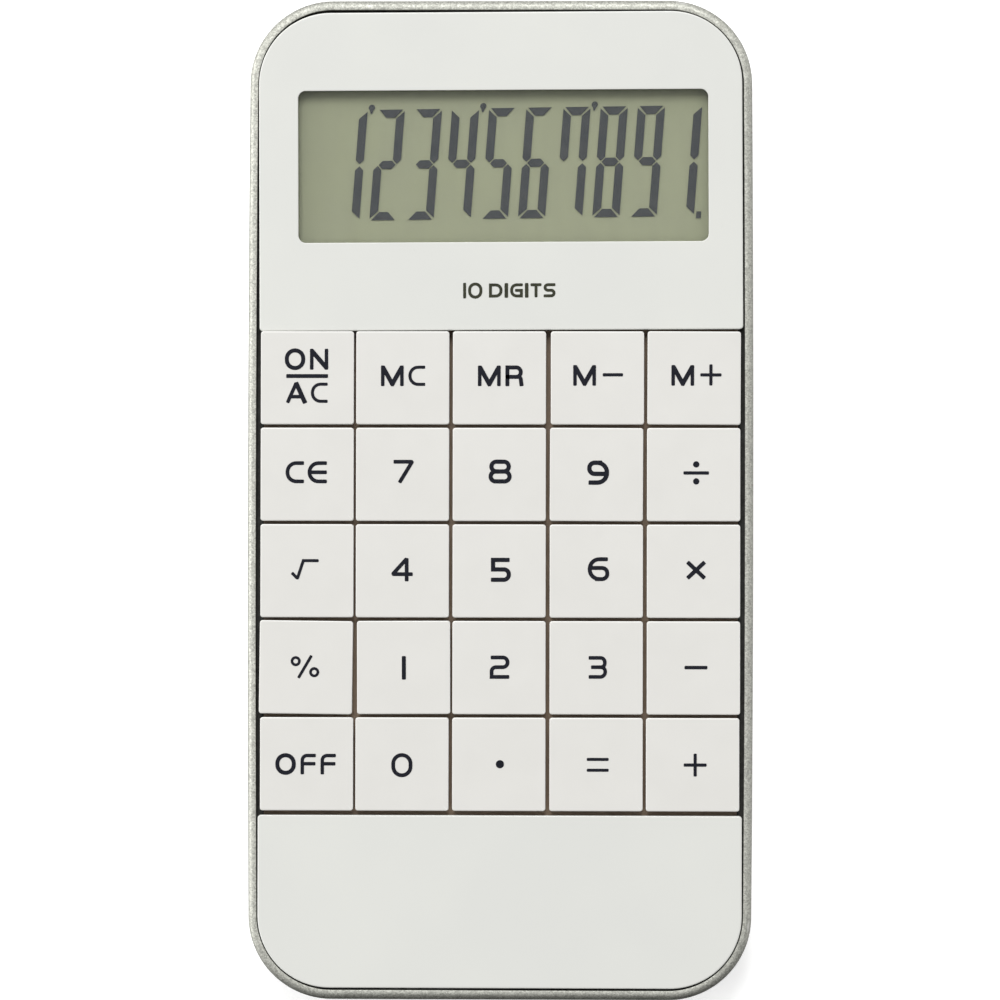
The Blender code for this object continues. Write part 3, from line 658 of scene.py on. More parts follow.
contact_metal = metal("contact_metal", (0.78, 0.75, 0.66), (0.68, 0.65, 0.56),
                      0.3, 0.3, 0.006, (1, 0.15, 1))
screw_steel = metal("screw_steel", (0.5, 0.5, 0.5), (0.4, 0.4, 0.41), 0.35, 0.2, 0.006,
                    worn=(0.66, 0.66, 0.66))


# ---- housing

shell_low, shell_high = corners_mm("front_housing")
HALF_X = (shell_high.x - shell_low.x) / 2
HALF_Y = (shell_high.y - shell_low.y) / 2
SHELL_FOOT = shell_low.z
RIM_TOP = shell_high.z
LIP_TOP = corners_mm("rear_housing")[1].z


def bowed_outline(side_inset, end_inset=None):
    """The body's outline drawn in by two insets. Its long sides bow out slightly."""
    if end_inset is None:
        end_inset = side_inset
    half_x = HALF_X - side_inset
    half_y = HALF_Y - end_inset
    radius = BODY_RADIUS - side_inset
    corners = rounded_outline(half_x, half_y, radius)
    per_corner = CORNER_STEPS + 1
    straight = half_y - radius
    heights = [straight * (1 - 2 * step / SIDE_STEPS) for step in range(1, SIDE_STEPS)]
    left = [(-half_x, y) for y in heights]
    right = [(half_x, -y) for y in heights]
    points = corners[:2 * per_corner] + left + corners[2 * per_corner:] + right
    bowed = []
    for x, y in points:
        narrower = SIDE_BOW * (y / HALF_Y) ** 2
        bowed.append((x - narrower if x > 0 else x + narrower, y))
    return bowed


def body_ring(z, side_inset, end_inset=None):
    """The body's outline at a height, drawn in by two insets."""
    return at_height(bowed_outline(side_inset, end_inset), z)


def arc_profile(radius, steps):
    """Offsets (in, down) of a rounded edge, from its side to its top."""
    angles = [radians(90 * step / steps) for step in range(steps + 1)]
    return [(radius * (1 - cos(angle)), radius * (1 - sin(angle))) for angle in angles]


def edge_profile(radius, steps):
    """A rounded edge, and narrow flat bands after it that keep the face's shading flat."""
    return arc_profile(radius, steps) + [(radius + band, 0.0) for band in FLAT_BANDS]


def about_window(outline, z, turn=PANEL_TURN):
    """An outline about the window's middle at a height, turned, in the model's frame."""
    moved = [(WINDOW_CENTRE[0] + x, WINDOW_CENTRE[1] + y, z) for x, y in outline]
    return turned_about(moved, WINDOW_CENTRE, turn)


def make_front():
    """Silver rim and side band, with the deck that the keys pass through."""
    foot = arc_profile(SIDE_FOOT_ROUND, SIDE_FOOT_STEPS)
    rings = [body_ring(SHELL_FOOT + down, inward) for inward, down in reversed(foot)]
    rings += [body_ring(RIM_TOP - down, inward) for inward, down in arc_profile(RIM_ROUND, 12)]
    for inward, down in reversed(arc_profile(RIM_INNER_ROUND, 4)):
        rings.append(body_ring(RIM_TOP - down, RIM_SIDE - inward, RIM_END - inward))
    rings += [body_ring(DECK_BOTTOM, RIM_SIDE, RIM_END), body_ring(DECK_BOTTOM, WALL),
              body_ring(SHELL_FOOT, WALL)]
    loft_piece("front_rim", rings, silver, "front_housing", wrap=True, sharp=40)

    tuck = (RIM_SIDE - DECK_TUCK, RIM_END - DECK_TUCK)
    rings = [body_ring(z, *tuck) for z in (DECK_BOTTOM + DECK_LIFT, DECK_TOP)]
    # The deck's dark brown material is painted bounced light and shade for the gaps between keys.
    piece = loft_piece("front_deck", rings, deck_painted_bounce, "front_housing")
    holes = bmesh.new()
    half = STEM_HOLE / 2
    low_z, high_z = DECK_CUT
    for _, (x, y) in key_places():
        add_box(holes, (x - half, y - half, low_z), (x + half, y + half, high_z))
    half_x = LCD_HALF_X + LCD_HOLE_GAP
    low_y, high_y = LCD_LOW_Y - LCD_HOLE_GAP, LCD_HIGH_Y + LCD_HOLE_GAP
    opening = [(half_x, low_y), (half_x, high_y), (-half_x, high_y), (-half_x, low_y)]
    add_loft(holes, [about_window(opening, z, LCD_TURN) for z in DECK_CUT])
    cut(piece, holes)


def make_channel_shade():
    """Near-black wall and floor of the channel between the rim and the face: a sheet that paints
    the shade in the deep, narrow channel.
    """
    rings = [body_ring(z, RIM_SIDE + inward, RIM_END + inward) for inward, z in CHANNEL_PROFILE]
    loft_piece("rim_channel_shade", rings, channel_painted_shade, "front_housing", wrap=True)


def make_back():
    """Rear tray with its lip, screw recesses and battery bay."""
    rings = [body_ring(FLOOR_TOP, LIP_INSIDE), body_ring(LIP_TOP, LIP_INSIDE),
             body_ring(LIP_TOP, LIP_OUTSIDE), body_ring(REAR_RIM, LIP_OUTSIDE)]
    for inward, down in reversed(arc_profile(SIDE_FOOT_ROUND, SIDE_FOOT_STEPS)):
        rings.append(body_ring(REAR_RIM - down, inward))
    rings += [body_ring(down, inward) for inward, down in edge_profile(BACK_ROUND, 12)]
    rings = [ring[::-1] for ring in rings]
    piece = loft_piece("rear_tray", rings, back_white, "rear_housing")

    centres = [place_of("case_screw_%d" % number)[2] for number in SCREW_NUMBERS]
    added = bmesh.new()
    for centre in centres:
        boss = [(BOSS_RADIUS, INSET_Z), (BOSS_RADIUS, BOSS_TOP)]
        add_loft(added, turned_rings(centre, boss, 32))
    door_low, door_high = corners_mm("battery_door")
    inner_x, inner_y = door_high.x + BAY_GAP, door_low.y - BAY_GAP
    outer_x, outer_y = inner_x + BAY_WALL, inner_y - BAY_WALL
    bay = [(outer_x, outer_y), (outer_x, HINGE_Y), (inner_x, HINGE_Y), (inner_x, inner_y),
           (-inner_x, inner_y), (-inner_x, HINGE_Y), (-outer_x, HINGE_Y), (-outer_x, outer_y)]
    add_prism(added, bay, INSET_Z, BAY_TOP)
    for x in RIBS_X:
        for y in RIBS_Y:
            add_box(added, (x - RIB_HALF_WIDTH, y - RIB_HALF_LENGTH, INSET_Z),
                    (x + RIB_HALF_WIDTH, y + RIB_HALF_LENGTH, RIB_TOP))
    cut(piece, added, "UNION")

    holes = bmesh.new()
    for centre in centres:
        add_loft(holes, turned_rings(centre, SCREW_RECESS, 32))
    add_box(holes, (-door_high.x - DOOR_GAP, door_low.y - DOOR_GAP, DOOR_CUT[0]),
            (door_high.x + DOOR_GAP, DOOR_HOLE_END_Y, DOOR_CUT[1]))
    cut(piece, holes)


def make_screw(node, name, shank, turn):
    """A pan-head screw with a thread and a cross recess, its head towards the back."""
    low, high, centre = place_of(node)
    profile = [(radius, low.z + up) for radius, up in SCREW_HEAD]
    profile.append((shank, low.z + SHANK_TOP))
    root = shank - THREAD_DEPTH
    z = low.z + THREAD_START
    while z < high.z - THREAD_END:
        profile += [(root, z), (shank, z + THREAD_HALF), (root, z + 2 * THREAD_HALF)]
        z += THREAD_PITCH
    profile.append((SCREW_TIP, high.z))
    rings = turned_rings(centre, profile, 28)
    piece = loft_piece(name, rings, screw_steel, node)
    for quarter in (0, 90):
        rings = []
        for half_long, half_wide, up in SCREW_CROSS:
            corners = ((1, 1), (-1, 1), (-1, -1), (1, -1))
            ring = [(centre[0] + x * half_long, centre[1] + y * half_wide, low.z + up)
                    for x, y in corners]
            rings.append(turned_about(ring, centre, turn + quarter))
        cross = bmesh.new()
        add_loft(cross, rings)
        bmesh.ops.recalc_face_normals(cross, faces=cross.faces)
        cut(piece, cross)


def make_screws():
    """The four case screws, seen in the back, and the four that hold the board."""
    for number in SCREW_NUMBERS:
        make_screw("case_screw_%d" % number, "cross_screw_%d" % number, CASE_SHANK,
                   20.0 + 31.0 * number)
        make_screw("board_screw_%d" % number, "inner_screw_%d" % number, BOARD_SHANK,
                   65.0 - 23.0 * number)


# ---- panels

def panel_outline(low_y, high_y, top_round, bottom_round, inset):
    """Outline of a face panel: big corners where it meets the rim, small ones at the keys."""
    points = []
    corners = ((1, 1, top_round), (-1, 1, top_round), (-1, -1, bottom_round), (1, -1, bottom_round))
    for quarter, (side_x, side_y, radius) in enumerate(corners):
        edge_y = high_y if side_y > 0 else low_y
        corner_x = side_x * (PANEL_HALF_X - radius)
        corner_y = edge_y - side_y * radius
        inner = max(radius - inset, MIN_RADIUS)
        shift = radius - inset - inner
        for step in range(CORNER_STEPS + 1):
            angle = pi / 2 * (quarter + step / CORNER_STEPS)
            points.append((corner_x + side_x * shift + inner * cos(angle),
                           corner_y + side_y * shift + inner * sin(angle)))
    return points


def make_panels():
    """The panel round the display, with its window, and the blank panel below the keys."""
    panel_low, panel_high = corners_mm("lower_panel")
    bottom, top = panel_low.z, panel_high.z
    rim_round = BODY_RADIUS - RIM_SIDE - PANEL_END_GAP
    end_y = HALF_Y - RIM_END - PANEL_END_GAP
    section = [(0.0, bottom)]
    section += [(inward, top - down) for inward, down in edge_profile(PANEL_EDGE, 6)]

    def blank(inset, z):
        outline = panel_outline(-end_y, panel_high.y, PANEL_KEY_CORNER, rim_round, inset)
        return at_height(outline, z)

    rings = [blank(inset, z) for inset, z in section]
    loft_piece("blank_panel", rings, panel_white, "lower_panel")

    low_y = FIRST_ROW_Y + KEY_HALF_Y + PANEL_TO_KEYS

    def outer(inset, z):
        outline = panel_outline(low_y, end_y, rim_round, PANEL_KEY_CORNER, inset)
        return about_window([(x - WINDOW_CENTRE[0], y - WINDOW_CENTRE[1]) for x, y in outline], z)

    def window(outset, z):
        half_x, half_y = WINDOW_HALF
        outline = rounded_outline(half_x + outset, half_y + outset, WINDOW_CORNER + outset)
        return about_window(outline, z)

    def rebate(z):
        outline = outline_between(REBATE_HALF_X, REBATE_LOW_Y, REBATE_HIGH_Y, REBATE_CORNER)
        return about_window(outline, z)

    rings = [outer(inset, z) for inset, z in section]
    rings += [window(inward, top - down) for inward, down in reversed(edge_profile(WINDOW_EDGE, 5))]
    rings += [window(0.0, WINDOW_LIP_Z), rebate(WINDOW_LIP_Z), rebate(bottom)]
    loft_piece("window_panel", rings, panel_white, "display_panel", wrap=True)

    lens_low, lens_high = corners_mm("display_lens")
    rings = []
    for inset, z in ((0.0, lens_low.z), (0.0, lens_high.z - LENS_EDGE), (LENS_EDGE, lens_high.z)):
        half_x, half_y = LENS_HALF
        outline = rounded_outline(half_x - inset, half_y - inset, LENS_CORNER - inset, 8)
        rings.append(about_window(outline, z))
    loft_piece("clear_window", rings, window_clear, "display_lens")


# ---- LCD

def segment_shapes():
    """The seven segments' outlines in one digit's box, drawn back from each other by a gap."""
    w, h, t = DIGIT_WIDTH, DIGIT_HEIGHT, SEGMENT_WIDTH
    half, gap = t / 2, SEGMENT_GAP / 2
    middle = h / 2
    tip = gap * 1.4
    bar = [(tip + gap, h), (w - tip - gap, h), (w - t - tip, h - t), (t + tip, h - t)]
    upper = [(w, h - tip - gap), (w - t, h - t - tip), (w - t, middle + half + tip),
             (w - half, middle + tip), (w, middle + half + tip)]
    cross = [(half + tip, middle), (t + gap, middle + half), (w - t - gap, middle + half),
             (w - half - tip, middle), (w - t - gap, middle - half), (t + gap, middle - half)]
    shapes = {"a": bar, "b": upper, "g": cross}
    shapes["f"] = [(w - x, y) for x, y in upper]
    shapes["c"] = [(x, h - y) for x, y in upper]
    shapes["e"] = [(w - x, h - y) for x, y in upper]
    shapes["d"] = [(x, h - y) for x, y in bar]
    return shapes


def make_lcd():
    """Dark segments, the rear glass below them, and the front glass above."""
    shapes = segment_shapes()
    slant = tan(radians(DIGIT_SLANT))
    cell_low, cell_high = corners_mm("lcd_cell")
    mesh = bmesh.new()

    def add_mark(outline):
        leant = [(DIGIT_LEFT + x + y * slant, DIGIT_LOW + y) for x, y in outline]
        heights = (SEGMENT_Z, SEGMENT_Z + SEGMENT_THICK)
        add_loft(mesh, [about_window(leant, z, LCD_TURN) for z in heights])

    for place, digit in enumerate(SHOWN):
        for letter in LIT[digit]:
            add_mark([(x + place * DIGIT_PITCH, y) for x, y in shapes[letter]])
    start, sweep, steps = MARK_ARC
    angles = [radians(start + step * sweep / steps) for step in range(steps + 1)]
    drop = [(MARK_RADIUS * cos(angle), MARK_RADIUS * sin(angle)) for angle in angles]
    for place in MARKS_BEFORE:
        middle_x, middle_y = place * DIGIT_PITCH + MARK_MIDDLE[0], DIGIT_HEIGHT + MARK_MIDDLE[1]
        add_mark([(middle_x + x, middle_y + y) for x, y in (*drop, *MARK_TIP)])
    left = len(SHOWN) * DIGIT_PITCH - POINT_BEFORE
    right = left + POINT_WIDTH
    add_mark([(left, POINT_LOW), (right, POINT_LOW), (right, POINT_HIGH), (left, POINT_HIGH)])
    make_piece("lcd_segments", mesh, lcd_dark, "lcd_cell")

    inset = LCD_BACK_INSET
    glasses = (
        ("lcd_rear_glass", lcd_green, LCD_HALF_X - inset, LCD_LOW_Y + LCD_LEDGE,
         LCD_HIGH_Y - inset, (cell_low.z, LCD_BACK_TOP)),
        ("lcd_front_glass", glass_clear, LCD_HALF_X, LCD_LOW_Y,
         LCD_HIGH_Y, (LCD_FRONT_BOTTOM, cell_high.z)),
    )
    for name, material, half_x, low_y, high_y, heights in glasses:
        outline = outline_between(half_x, low_y, high_y, LCD_CORNER, LCD_CORNER_STEPS)
        rings = [about_window(outline, z, LCD_TURN) for z in heights]
        loft_piece(name, rings, material, "lcd_cell")


# ---- legends

def corner_arc(before, here, after, radius, steps):
    """Points that round one corner of a path to a radius, in a number of steps."""
    back = before - here
    ahead = after - here
    opening = back.angle(ahead)
    reach = min(radius / tan(opening / 2), back.length * 0.999, ahead.length * 0.999)
    actual = reach * tan(opening / 2)
    start = here + back.normalized() * reach
    finish = here + ahead.normalized() * reach
    middle = (back.normalized() + ahead.normalized()).normalized()
    centre = here + middle * hypot(reach, actual)
    first = atan2(start.y - centre.y, start.x - centre.x)
    sweep = atan2(finish.y - centre.y, finish.x - centre.x) - first
    sweep = (sweep + pi) % (2 * pi) - pi
    angles = [first + sweep * step / steps for step in range(steps + 1)]
    return [centre + actual * Vector((cos(angle), sin(angle))) for angle in angles]


def pen_side(path, width, side, closed):
    """One side of a pen stroke: the path shifted sideways, its corners rounded to match."""
    points = [Vector(point[:2]) for point in path]
    radii = [point[2] if len(point) > 2 else 0.0 for point in path]
    count = len(points)
    shift = side * width / 2
    places = []
    for index, here in enumerate(points):
        first = second = None
        if closed or index > 0:
            first = (here - points[index - 1]).normalized()
        if closed or index < count - 1:
            second = (points[(index + 1) % count] - here).normalized()
        first = first or second
        second = second or first
        across = Vector((-first.y, first.x))
        normal = (across + Vector((-second.y, second.x))).normalized()
        places.append(here + normal * shift / normal.dot(across))
    out = []
    for index, here in enumerate(places):
        if not closed and index in (0, count - 1):
            out.append(here)
            continue
        arriving = points[index] - points[index - 1]
        leaving = points[(index + 1) % count] - points[index]
        turn = arriving.angle(leaving)
        if radii[index] == 0 or turn < radians(1):
            out.append(here)
            continue
        inner = 1 if arriving.cross(leaving) > 0 else -1
        radius = max(radii[index] - shift * inner, 0.01)
        steps = max(2, round(turn / ARC_STEP))
        out += corner_arc(places[index - 1], here, places[(index + 1) % count], radius, steps)
    return out


def end_pairs(end, inner, half):
    """Pairs of points from just before the softened square end of a stroke to its tip."""
    end = Vector(end[:2])
    outward = (end - Vector(inner[:2])).normalized()
    across = Vector((-outward.y, outward.x))
    bevel = half - 0.3 * END_ROUND
    places = ((half - END_ROUND, half), (bevel, bevel), (half, half - END_ROUND))
    return [(end + outward * ahead + across * side, end + outward * ahead - across * side)
            for ahead, side in places]


def add_stroke(mesh, path, width, low_z, high_z, closed=False):
    """Add a pen stroke of one width along a path of (x, y, corner radius), square at its ends."""
    sides = [pen_side(path, width, side, closed) for side in (1, -1)]
    pairs = list(zip(*sides, strict=True))
    if not closed:
        start = [(b, a) for a, b in end_pairs(path[0], path[1], width / 2)]
        pairs = start[::-1] + pairs + end_pairs(path[-1], path[-2], width / 2)
    rings = [[(a.x, a.y, low_z), (a.x, a.y, high_z), (b.x, b.y, high_z), (b.x, b.y, low_z)]
             for a, b in pairs]
    add_loft(mesh, rings, wrap=closed)


# Glyphs: width and height of the pen's path, then strokes as (x, y, corner radius), with x
# and y in shares of that width and height, and the radius in mm. A stroke that starts with
# "loop" is closed, and one that starts with "bold" is drawn with a wider pen.
GLYPHS = {
    "0": (2.02, 2.36, [["loop", (0, 0, 1.0), (1, 0, 1.0), (1, 1, 1.0), (0, 1, 1.0)]]),
    "1": (0.0, 2.28, [[(0, 0), (0, 1)]]),
    "2": (1.9, 2.27, [[(0.06, 1), (0.98, 1, 0.56), (0.98, 0.5, 0.56), (0, 0.5, 0.5), (0, 0),
                       (0.97, 0)]]),
    "3": (1.72, 2.22, [[(0, 1), (0.97, 1, 0.5), (0.97, 0.51, 0.45), (0.16, 0.51)],
                       [(0.6, 0.51), (1, 0.51, 0.5), (1, 0, 0.58), (0, 0)]]),
    "4": (2.12, 2.28, [[(0.77, 0), (0.77, 1)], [(0.71, 1), (0, 0.27, 0.06), (1, 0.27)]]),
    "5": (1.88, 2.32, [[(0.92, 1), (0.02, 1), (0.02, 0.52), (1, 0.52, 0.56), (1, 0, 0.6),
                        (0.02, 0)]]),
    "6": (2.05, 2.32, [[(0.92, 1), (0, 1, 1.12), (0, 0, 1.12), (0.6, 0)],
                       [(0.4, 0), (1, 0, 0.62), (1, 0.56, 0.62), (0.06, 0.56)]]),
    "7": (1.95, 2.26, [[(0, 1), (1, 1, 0.05), (0.3, 0)]]),
    "8": (2.2, 2.3, [["loop", (0, 0, 0.57), (1, 0, 0.57), (1, 0.5, 0.57), (0, 0.5, 0.57)],
                     [(0.35, 0.507), (0.04, 0.507, 0.57), (0.04, 1, 0.57), (0.96, 1, 0.57),
                      (0.96, 0.507, 0.57), (0.65, 0.507)]]),
    "9": (2.05, 2.32, [[(0.08, 0), (1, 0, 1.12), (1, 1, 1.12), (0.4, 1)],
                       [(0.6, 1), (0, 1, 0.62), (0, 0.44, 0.62), (0.94, 0.44)]]),
    "A": (1.9, 2.0, [[(0, 0), (0.46, 0.99)], ["bold", (0.53, 0.99), (1, 0)],
                     [(0.2, 0.27), (0.8, 0.27)]]),
    "C": (1.6, 2.0, [[(1, 1), (0, 1, 0.95), (0, 0, 0.95), (1, 0)]]),
    "D": (1.9, 2.0, [["loop", (0, 0), (1, 0, 0.95), (1, 1, 0.95), (0, 1)]]),
    "E": (1.7, 2.0, [[(1, 1), (0, 1, 0.98), (0, 0, 0.98), (1, 0)], [(0.05, 0.5), (1, 0.5)]]),
    "F": (1.38, 2.0, [[(0, 0), (0, 1, 0.55), (1, 1)], [(0.05, 0.52), (0.97, 0.52)]]),
    "G": (1.75, 2.0, [[(1, 1), (0, 1, 0.9), (0, 0, 0.9), (1, 0), (1, 0.5), (0.5, 0.5)]]),
    "I": (0.0, 2.0, [[(0, 0), (0, 1)]]),
    "M": (2.24, 2.0, [[(0, 0), (0, 1)], [(1, 0), (1, 1)],
                      ["bold", (0.04, 0.94), (0.49, 0.04)], ["bold", (0.96, 0.94), (0.51, 0.04)]]),
    "N": (1.72, 2.04, [[(0, 0), (0, 1)], [(1, 0), (1, 1)], ["bold", (0.05, 0.94), (0.95, 0.06)]]),
    "O": (1.92, 2.06, [["loop", (0, 0, 0.95), (1, 0, 0.95), (1, 1, 0.95), (0, 1, 0.95)]]),
    "R": (1.64, 1.96, [[(0, 0), (0, 1), (0.95, 1, 0.53), (0.95, 0.44, 0.53), (0, 0.44)],
                       [(0.5, 0.44), (0.93, 0.44, 0.3), (1, 0)]]),
    "S": (1.6, 2.0, [[(1, 1), (0, 1, 0.5), (0, 0.5, 0.5), (1, 0.5, 0.5), (1, 0, 0.5), (0, 0)]]),
    "T": (1.45, 2.0, [[(0, 1), (1, 1)], [(0.5, 0), (0.5, 1)]]),
    "-": (2.1, 0.0, [[(0, 0), (1, 0)]]),
    "+": (2.3, 2.3, [[(0, 0.5), (1, 0.5)], [(0.5, 0), (0.5, 1)]]),
    "=": (2.2, 1.26, [[(0, 0), (1, 0)], [(0, 1), (1, 1)]]),
    "x": (1.68, 1.58, [[(0, 0), (1, 1)], [(0, 1), (1, 0)]]),
    "/": (1.35, 2.36, [[(0, 0), (1, 1)]]),
    "root": (2.85, 2.08, [[(0, 0.26), (0.19, 0, 0.06), (0.43, 1), (1, 1)]]),
    "minus": (2.27, 0.0, [[(0, 0), (1, 0)]]),
    "divide": (2.6, 0.0, [[(0, 0), (1, 0)]]),
}
BOLD = {
    "1": 0.48, "3": 0.43, "5": 0.5, "6": 0.47, "8": 0.5, "9": 0.52, "A": 0.42, "C": 0.37,
    "M": 0.42, "N": 0.42, "O": 0.48, "R": 0.47, "x": 0.48, "minus": 0.41,
}

# Legends that are one row of glyphs: the glyphs, the row's height and middle on the key, and
# the pen's width
ROWS = {
    "mc": ("MC", -0.06, 0.05, LETTER_INK), "mr": ("MR", -0.06, 0.05, LETTER_INK),
    "off": ("OFF", 0.0, 0.0, LETTER_INK), "root": (["root"], 0.0, -0.17, 0.36),
    "multiply": ("x", 0.0, 0.0, 0.41), "minus": (["minus"], 0.0, 0.0, 0.37),
    "equals": ("=", 0.0, 0.0, 0.36), "plus": ("+", 0.0, 0.0, SIGN_INK),
}

# How far a legend is printed off the place that the others share
NUDGES = {
    "7": (0.15, 0.12), "8": (0.0, 0.12), "5": (0.1, 0.0), "1": (0.04, -0.1), "0": (0.0, -0.1),
    "6": (0.06, 0.1), "4": (-0.06, 0.0), "m_minus": (-0.08, 0.0), "root": (0.05, 0.0),
    "ce": (0.0, 0.05),
}


def glyph_strokes(name, centre_x, middle_y, height=1.0):
    """A glyph's strokes, placed about a point. Height scales the whole glyph."""
    width, tall, strokes = GLYPHS[name]
    out = []
    for stroke in strokes:
        kind = stroke[0] if isinstance(stroke[0], str) else ""
        points = []
        for x, y, *radius in (stroke[1:] if kind else stroke):
            place = (centre_x + (x - 0.5) * width * height, middle_y + (y - 0.5) * tall * height)
            points.append((*place, *[r * height for r in radius]))
        out.append((points, kind == "loop", BOLD_SHARE if kind == "bold" else 1.0))
    return out


def row_of(names, middle_y, ink_width, gap=LETTER_GAP, height=1.0, middle_x=0.0, pens_of=BOLD):
    """Strokes of glyphs set in a row about a middle. Some glyphs have pens of their own."""
    pens = [pens_of.get(name, ink_width) for name in names]
    widths = [WORD_SPACE if name == " " else GLYPHS[name][0] * height + pen
              for name, pen in zip(names, pens)]
    total = sum(widths) + gap * (len(names) - 1)
    x = middle_x - total / 2
    out = []
    for name, width, pen in zip(names, widths, pens):
        if name != " ":
            out += [(path, closed, pen * share) for path, closed, share in
                    glyph_strokes(name, x + width / 2, middle_y, height)]
        x += width + gap
    return out


def ring_stroke(x, y, radius, width):
    """A small circle drawn with the pen."""
    return (circle_outline(radius, 28, (x, y)), True, width)


def dot(x, y, radius):
    """A filled dot: a ring whose inside closes to a pinhole."""
    return ring_stroke(x, y, radius / 2, radius * 0.999)


def legend_strokes(name):
    """Everything printed on one key, about the legend's middle."""
    if name in "0123456789":
        return row_of([name], 0.0, DIGIT_INK)
    if name == "on_ac":
        bar = ([(-2.14, -0.1), (2.3, -0.1)], False, 0.46)
        below = row_of("AC", -2.05, LETTER_INK, middle_x=0.07)
        return row_of("ON", 1.87, LETTER_INK) + [bar] + below
    if name == "ce":
        return row_of("CE", -0.04, 0.44, 0.42, 1.07, pens_of={})
    if name in ("m_minus", "m_plus"):
        second, place, scale = ("-", 1.68, 0.95) if name == "m_minus" else ("+", 1.66, 0.91)
        mark = row_of([second], 0.07, SIGN_INK, height=scale, middle_x=place)
        return row_of("M", 0.0, LETTER_INK, middle_x=-1.62) + mark
    if name == "divide":
        return row_of(["divide"], -0.02, 0.39) + [dot(0.0, 0.98, 0.37), dot(0.0, -1.0, 0.37)]
    if name == "percent":
        rings = [ring_stroke(-1.09, 0.64, 0.43, 0.32), ring_stroke(1.09, -0.62, 0.43, 0.32)]
        return row_of("/", 0.0, 0.34) + rings
    if name == "point":
        return [dot(0.04, 0.04, 0.48)]
    glyphs, middle_y, middle_x, pen = ROWS[name]
    return row_of(glyphs, middle_y, pen, middle_x=middle_x)


def print_strokes(name, strokes, centre, turn, top_z, material, body="root"):
    """Turn pen strokes into one thin print. Strokes that cross differ a little in height."""
    mesh = bmesh.new()
    for index, (path, closed, width) in enumerate(strokes):
        moved = [(centre[0] + x, centre[1] + y, *radius) for x, y, *radius in path]
        lift = INK_STEP * (index % 4)
        add_stroke(mesh, turned_about(moved, centre, turn), width, top_z - INK_SUNK - lift,
                   top_z + INK_THICK + lift, closed)
    make_piece(name, mesh, material, body=body, sharp=30)


# ---- keys

def make_key(name, row, column):
    """A key cap with rounded edges, a stem and hooks, and what is printed on it."""
    node = "key_" + name
    _, high, centre = place_of(node)
    turn = KEY_TURN.get(name, 0.0)
    top = high.z

    def ring(half_x, half_y, radius, z):
        outline = rounded_outline(half_x, half_y, radius, 6, centre)
        return turned_about(at_height(outline, z), centre, turn)

    edge = KEY_UNDER_EDGE
    rings = [
        ring(STEM_HALF + STEM_FOOT_WIDER, STEM_HALF, STEM_CORNER, top - STEM_LENGTH),
        ring(HOOK_HALF_X, HOOK_HALF_Y, STEM_CORNER, top - HOOK_UP),
        ring(STEM_HALF, STEM_HALF, STEM_CORNER, top - HOOK_UP),
        ring(STEM_HALF, STEM_HALF, STEM_CORNER, top - KEY_THICK),
        ring(KEY_HALF_X - edge, KEY_HALF_Y - edge, KEY_CORNER, top - KEY_THICK),
        ring(KEY_HALF_X, KEY_HALF_Y, KEY_CORNER, top - KEY_THICK + edge),
    ]
    for inward, down in edge_profile(KEY_EDGE, 5):
        radius = max(KEY_CORNER - inward, MIN_RADIUS)
        rings.append(ring(KEY_HALF_X - inward, KEY_HALF_Y - inward, radius, top - down))
    loft_piece("cap_" + name, rings, key_white, node, node)

    nudge = NUDGES.get(name, (0.0, 0.0))
    middle = (centre[0] + LEGEND_PER_COLUMN * (column - 1) + nudge[0],
              centre[1] + LEGEND_UP - LEGEND_PER_ROW * row + nudge[1])
    print_strokes("legend_" + name, legend_strokes(name), middle, turn, top, ink, node)


def make_keys():
    """The twenty-five keys."""
    for row, names in enumerate(KEY_ROWS):
        for column, name in enumerate(names):
            make_key(name, row, column)


def make_panel_words():
    """The plain words under the display."""
    panel_top = corners_mm("lower_panel")[1].z
    strokes = row_of("10 DIGITS", 0.0, WORDS_INK, WORDS_GAP, WORDS_SCALE, pens_of=WORDS_BOLD)
    middle = about_window([WORDS_PLACE], panel_top)[0]
    print_strokes("panel_words", strokes, middle, PANEL_TURN, panel_top, olive_ink)


# ---- inside

def make_mat():
    """Silicone sheet, and a dome under every key. The domes keep their shape here; on the real
    keypad each flattens as its key goes down.
    """
    low, high, middle = place_of("keypad_mat")
    outline = rounded_outline((high.x - low.x) / 2, (high.y - low.y) / 2, MAT_CORNER, 6, middle)
    rings = [at_height(outline, z) for z in (low.z, MAT_TOP)]
    piece = loft_piece("mat_sheet", rings, silicone, "keypad_mat")
    places = [(centre, DOME_HOLE) for _, centre in key_places()]
    places += [(place_of("board_screw_%d" % number)[2], SCREW_HOLE) for number in SCREW_NUMBERS]
    holes = bmesh.new()
    for centre, radius in places:
        add_loft(holes, turned_rings(centre, [(radius, z) for z in MAT_CUT], 24))
    cut(piece, holes)

    profile = [(radius, low.z) for radius in DOME_FOOT] + list(DOME_SIDE)
    profile += [(radius, high.z + up) for radius, up in DOME_TOP] + list(DOME_INSIDE)
    for name, centre in key_places():
        rings = turned_rings(centre, profile, 24)
        dome = loft_piece("dome_" + name, rings, silicone, "keypad_mat", wrap=True)
        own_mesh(dome)


